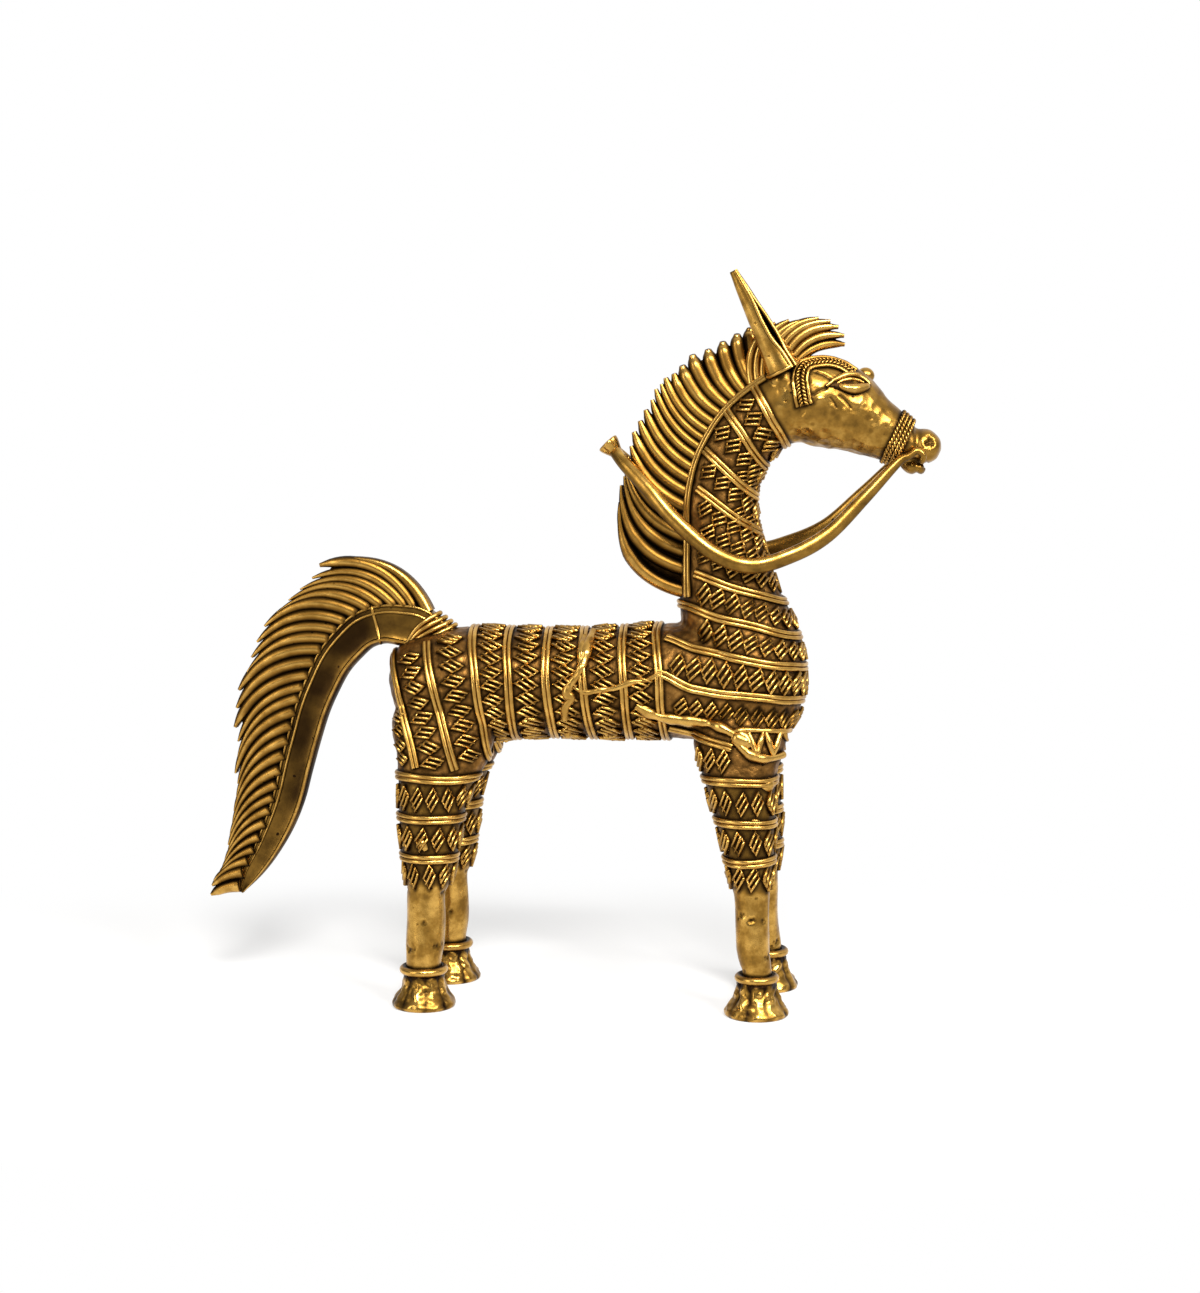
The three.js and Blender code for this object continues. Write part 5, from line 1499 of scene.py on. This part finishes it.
reins = {
    "points": [(130.2, 9, 221.8), (117.4, 12, 208), (103, 15.5, 193.4), (88.3, 18.8, 185.2),
               (73, 20.4, 181.2), (58, 20.4, 186.2), (42.4, 16.5, 199), (31.7, 12.3, 210.8), (21.5, 6.5, 221),
               (17, 1.6, 226)],
    "hook": [(139.4, 8.2, 221.6), (140.4, 8.4, 224.6), (138, 8.6, 226.6), (134.8, 8.8, 224.6)],
    "height": 6.2, "width": 4.3, "endHeight": 2.8, "endWidth": 0.75, "leftRise": 4,
    "steps": 130, "around": 20, "swellOver": (0.2, 0.5), "thinOver": (0.85, 1.0), "thinBy": 0.3,
    "tip": 0.35, "tipOver": (0.0, 0.035), "uneven": 0.05, "unevenPerMetre": 60,
    "worn": (0.7, 0.4), "leftShade": 0.65,
    "flare": [(0, 2.2), (2, 2.8), (4.2, 3.8), (6.2, 4.5), (7.2, 4.2), (7.6, 1.6)], "flareWorn": 0.85,
    "flareAt": (18.5, 0, 224.4), "flareWay": ((24, 0, 218.5), (17, 0, 226)),
    "flareRows": 24, "flareAround": 40,
    "notches": 5, "notchDepth": 0.55, "notchOver": (2, 6), "notchPower": 3, "notchWide": 4.5,
}


def makeReins():
    points, faces, worn = [], [], []
    around = reins["around"]
    for side in (-1, 1):
        rows = []
        for i, (x, y, z) in enumerate(reins["hook"] + reins["points"]):
            share = max(i - len(reins["hook"]) + 1, 0) / len(reins["points"])
            rise = reins["leftRise"] * math.sin(math.pi * share) ** 2 if side > 0 else 0
            rows.append((x, side * y, z + rise))
        line = [mm(*p) for p in smoothPath(rows, reins["steps"])]
        start = len(points)
        for i, p in enumerate(line):
            t = i / reins["steps"]
            ahead = (line[min(i + 1, len(line) - 1)] - line[max(i - 1, 0)]).normalized()
            across = (Vector((0, 1, 0)) - ahead * ahead.y).normalized()
            up = across.cross(ahead)
            swell = fade(t, *reins["swellOver"]) * (1 - reins["thinBy"] * fade(t, *reins["thinOver"]))
            tipped = reins["tip"] + (1 - reins["tip"]) * fade(t, *reins["tipOver"])
            high = (reins["endHeight"] + (reins["height"] - reins["endHeight"]) * swell) / 2000 * tipped
            high *= 1 + reins["uneven"] * noise.noise(p * reins["unevenPerMetre"])
            wide = reins["width"] / 2000 * (reins["endWidth"] + (1 - reins["endWidth"]) * swell) * tipped
            for a in turnsOf(around):
                points.append(p + across * (wide * math.cos(a)) + up * (high * math.sin(a)))
                # each strap lighter on its upper side and darker below: painted light and shade; the far
                # strap darker still as painted shade
                rubbed = reins["worn"][0] + reins["worn"][1] * math.sin(a)
                worn.append(rubbed * (reins["leftShade"] if side > 0 else 1.0))
        faces.extend(tubeFaces(len(line), around, start))
    start = len(points)
    back, front = (mm(*p) for p in reins["flareWay"])
    flow = (front - back).normalized()
    across = Vector((0, 1, 0))
    up = across.cross(flow)
    rings = smoothPath([(d, r, 0) for d, r in reins["flare"]], reins["flareRows"])
    for p in rings:
        middle = mm(*reins["flareAt"]) + flow * (p.x / 1000)
        for a in turnsOf(reins["flareAround"]):
            fold = max(math.cos(reins["notches"] * a), 0) ** reins["notchPower"]
            notch = reins["notchDepth"] * fade(p.x, *reins["notchOver"]) * fold
            r = (p.y - notch * p.y / reins["notchWide"]) / 1000
            points.append(middle + across * (r * math.cos(a)) + up * (r * math.sin(a)))
            worn.append(reins["flareWorn"])
    faces.extend(tubeFaces(len(rings), reins["flareAround"], start))
    strap = makeObject("rein_straps", points, (), faces)
    fixNormals(strap.data)
    setAttribute(strap, "worn", worn)
    finishPiece(strap, sheetBrass, "polished_brass", "reins")


makeReins()
print("reins hung")


# Casting flaws on the near side: a flash and its drip, a runner, a holed patch, lumps; the low shoulder bands

flaws = {
    "flash": [([(8.6, 152.6), (7.4, 148), (6.4, 143), (5.6, 140)], 2.2),
              ([(5.4, 151), (5.2, 146), (5.0, 140.6)], 2.0),
              ([(5.6, 141), (3.4, 136.6), (0.6, 132.6), (-0.4, 129.6), (1.2, 127.6), (-1.2, 124),
                (-1.8, 119)], 2.1),
              ([(0.4, 133.4), (3.6, 131.2), (7.4, 130), (12.9, 131), (19.3, 132), (25.8, 134.4),
                (32.2, 135.3), (38, 139)], 1.3),
              ([(-1.6, 113.5), (-1.5, 111.2), (-1.3, 109.8)], 1.9)],
    "runner": ([(27.4, 125.1), (32, 122.3), (37, 120.4), (45.1, 119.3), (53.1, 118.6), (61.1, 116.7),
                (69, 113)], 2.4),
    "patch": [([(65, 114), (70.5, 115.6), (79, 115.4), (88.6, 114.2)], 1.5),
              ([(66.5, 113.4), (69.5, 112), (72.6, 110.6)], 2.6), ([(68, 114.4), (71, 113), (73, 109)], 2.2),
              ([(67, 112), (70.2, 108.8), (73.4, 106.2), (78.2, 104.6), (83.6, 104.8), (88.4, 106.2)], 1.9),
              ([(72.6, 114.6), (75.6, 106)], 1.35), ([(78.2, 115), (75.8, 106)], 1.35),
              ([(79.2, 115), (82, 105.4)], 1.35), ([(84.8, 114.6), (82, 105.4)], 1.3),
              ([(85.8, 114.4), (88.6, 107)], 1.2)],
    "lumps": [([(73.6, 79.6), (76.4, 78.4), (79.2, 77.6)], 2.6),
              ([(-61.5, 70), (-58.5, 67.5), (-57, 65)], 2.4), ([(77, 94.6), (81, 93.8), (84, 92.8)], 3.0)],
    "flashLift": 0.35, "runnerLift": 0.3, "patchLift": 0.5, "lumpSink": 0.72,
    "steps": 40, "sides": 10, "thin": 0.55, "endShare": 0.06, "endCurve": 0.5,
    "uneven": 0.45, "unevenPerMetre": 230, "rubbed": (-0.3, 0.6),
    "lowBand": [(40.2, 115.4), (49, 113.2), (58, 110.8), (66, 108.6)], "lowSteps": 50,
}


def flawPath(line, radius, lift):
    laid = [(spot + out * (lift / 1000), out) for spot, out in nearSkin(line, flaws["steps"])]

    def shareAt(t):
        end, thin = flaws["endShare"], flaws["thin"]
        swell = math.sin(math.pi * min(max(t, end), 1 - end)) ** flaws["endCurve"]
        return thin + (1 - thin) * swell

    spots, outs, shares, isRing = openPath(laid, shareAt)
    shares = [radius * share * (1 + flaws["uneven"] * noise.noise(p * flaws["unevenPerMetre"]))
              for p, share in zip(spots, shares)]
    return spots, outs, shares, isRing


def makeFlaws():
    flash = [flawPath(*line, flaws["flashLift"]) for line in flaws["flash"]]
    runner = [flawPath(*flaws["runner"], flaws["runnerLift"])]
    patch = [flawPath(*line, flaws["patchLift"]) for line in flaws["patch"]]
    lumps = [flawPath(line, radius, -radius * flaws["lumpSink"]) for line, radius in flaws["lumps"]]
    for name, paths in (("casting_flash", flash), ("casting_runner", runner), ("shoulder_patch", patch),
                        ("casting_lumps", lumps)):
        finishPiece(sweepWires(name, paths, 1.0, flaws["sides"], flaws["rubbed"]), wireBrass, "cast_brass")
    for name, side in sides:
        doubleWire(f"{name}_shoulder_wires", nearSkin(flaws["lowBand"], flaws["lowSteps"], side), False)


makeFlaws()
print("casting flaws added")


# Stage: a pale floor that runs out to white, a white backdrop and soft lamps in front

stage = {"floor": "#EAE9E7", "floorRoughness": 0.9, "floorShine": 0.2, "reach": 6.0, "fadeOver": (0.2, 0.42),
         "depthShare": 1.7, "paleness": 0.5, "worldTop": "#FFFFFF", "worldLow": "#35322F",
         "worldStrength": 0.8, "worldLean": (0.2, 0.65, 0.7), "worldOver": (-0.3, 0.9),
         "backdrop": (0.45, 0.7)}  # the metal mirrors the white backdrop behind the horse, not the dark room
lamps = [  # name, place, aim, size across and down in metres, watts
    ("keyLamp", (0.9, -0.9, 0.95), (0.0, 0.0, 0.14), (0.5, 0.5), 20),
    ("topLamp", (0.18, -0.95, 0.95), (0.0, 0.0, 0.14), (0.3, 0.3), 16.5),
    ("sideLamp", (-0.9, -0.9, 0.5), (0.0, 0.0, 0.14), (0.4, 0.9), 6),
]


def makeFloor():
    reach = stage["reach"]
    corners = [(-reach, -reach, 0), (reach, -reach, 0), (reach, reach, 0), (-reach, reach, 0)]
    floor = makeObject("floor", corners, (), [(0, 1, 2, 3)])
    material = bpy.data.materials.new("paleFloorPaper")  # soft grey under the horse, white further out
    material.use_nodes = True
    tree = material.node_tree
    shader = tree.nodes["Principled BSDF"]
    shader.inputs["Base Color"].default_value = linear(stage["floor"])
    shader.inputs["Roughness"].default_value = stage["floorRoughness"]
    shader.inputs["Specular IOR Level"].default_value = stage["floorShine"]
    place = addNode(tree, "ShaderNodeTexCoord").outputs["Object"]
    place = addNode(tree, "ShaderNodeVectorMath", {"operation": "MULTIPLY"}, {
        0: place, 1: (1.0, stage["depthShare"], 1.0)}).outputs["Vector"]
    far = addNode(tree, "ShaderNodeVectorMath", {"operation": "LENGTH"}, {0: place}).outputs["Value"]
    away = addRange(tree, far, stage["fadeOver"], (stage["paleness"], 1.0), "SMOOTHSTEP")
    ray = addNode(tree, "ShaderNodeLightPath").outputs
    seen = addMath(tree, "MAXIMUM", ray["Is Camera Ray"], ray["Is Glossy Ray"])
    white = addMath(tree, "MULTIPLY", away, seen)
    glow = addNode(tree, "ShaderNodeEmission", None, {"Color": (1, 1, 1, 1), "Strength": 1.0}).outputs[0]
    mixed = addNode(tree, "ShaderNodeMixShader", None, {0: white, 1: shader.outputs[0], 2: glow}).outputs[0]
    tree.links.new(mixed, tree.nodes["Material Output"].inputs["Surface"])
    floor.data.materials.append(material)


def makeWorld():
    world = bpy.data.worlds.new("whiteStudio")
    scene.world = world
    world.use_nodes = True
    tree = world.node_tree
    background = tree.nodes["Background"]
    pale = addNode(tree, "ShaderNodeVectorMath", {"operation": "DOT_PRODUCT"}, {
        0: addNode(tree, "ShaderNodeTexCoord").outputs["Generated"], 1: stage["worldLean"]}).outputs["Value"]
    ramp = addNode(tree, "ShaderNodeValToRGB", None, {"Fac": addRange(tree, pale, stage["worldOver"])})
    ramp.color_ramp.elements[0].color = linear(stage["worldLow"])
    ramp.color_ramp.elements[1].color = linear(stage["worldTop"])
    tree.links.new(ramp.outputs["Color"], background.inputs["Color"])
    background.inputs["Strength"].default_value = stage["worldStrength"]
    white = addNode(tree, "ShaderNodeBackground", None, {"Color": (1, 1, 1, 1), "Strength": 1.0}).outputs[0]
    ray = addNode(tree, "ShaderNodeLightPath").outputs
    behind = addRange(tree, pale, stage["backdrop"], kind="SMOOTHSTEP")
    mirrored = addMath(tree, "MULTIPLY", behind, ray["Is Glossy Ray"])
    seen = addMath(tree, "MAXIMUM", ray["Is Camera Ray"], ray["Is Transmission Ray"])
    seen = addMath(tree, "MAXIMUM", seen, mirrored)
    studio = background.outputs[0]
    mixed = addNode(tree, "ShaderNodeMixShader", None, {0: seen, 1: studio, 2: white}).outputs[0]
    tree.links.new(mixed, tree.nodes["World Output"].inputs["Surface"])


def addLamps():
    for name, place, aim, (wide, high), watts in lamps:
        data = bpy.data.lights.new(name, "AREA")
        data.shape = "RECTANGLE"
        data.size, data.size_y = wide, high
        data.energy = watts
        lamp = bpy.data.objects.new(name, data)
        lamp.location = place
        lamp.rotation_euler = (Vector(aim) - Vector(place)).to_track_quat("-Z", "Y").to_euler()
        scene.collection.objects.link(lamp)


darkenSkins(skins)
print("ground darkened beside", len(ornaments), "ornaments")
makeFloor()
makeWorld()
addLamps()
scene.view_settings.view_transform = "Standard"
print("stage set")
for spare in (coreWhole, headWhole):
    bpy.data.objects.remove(spare)

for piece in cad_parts.values():
    if not piece.hide_render:
        piece.data.materials.clear()
        piece.data.materials.append(wireBrass)
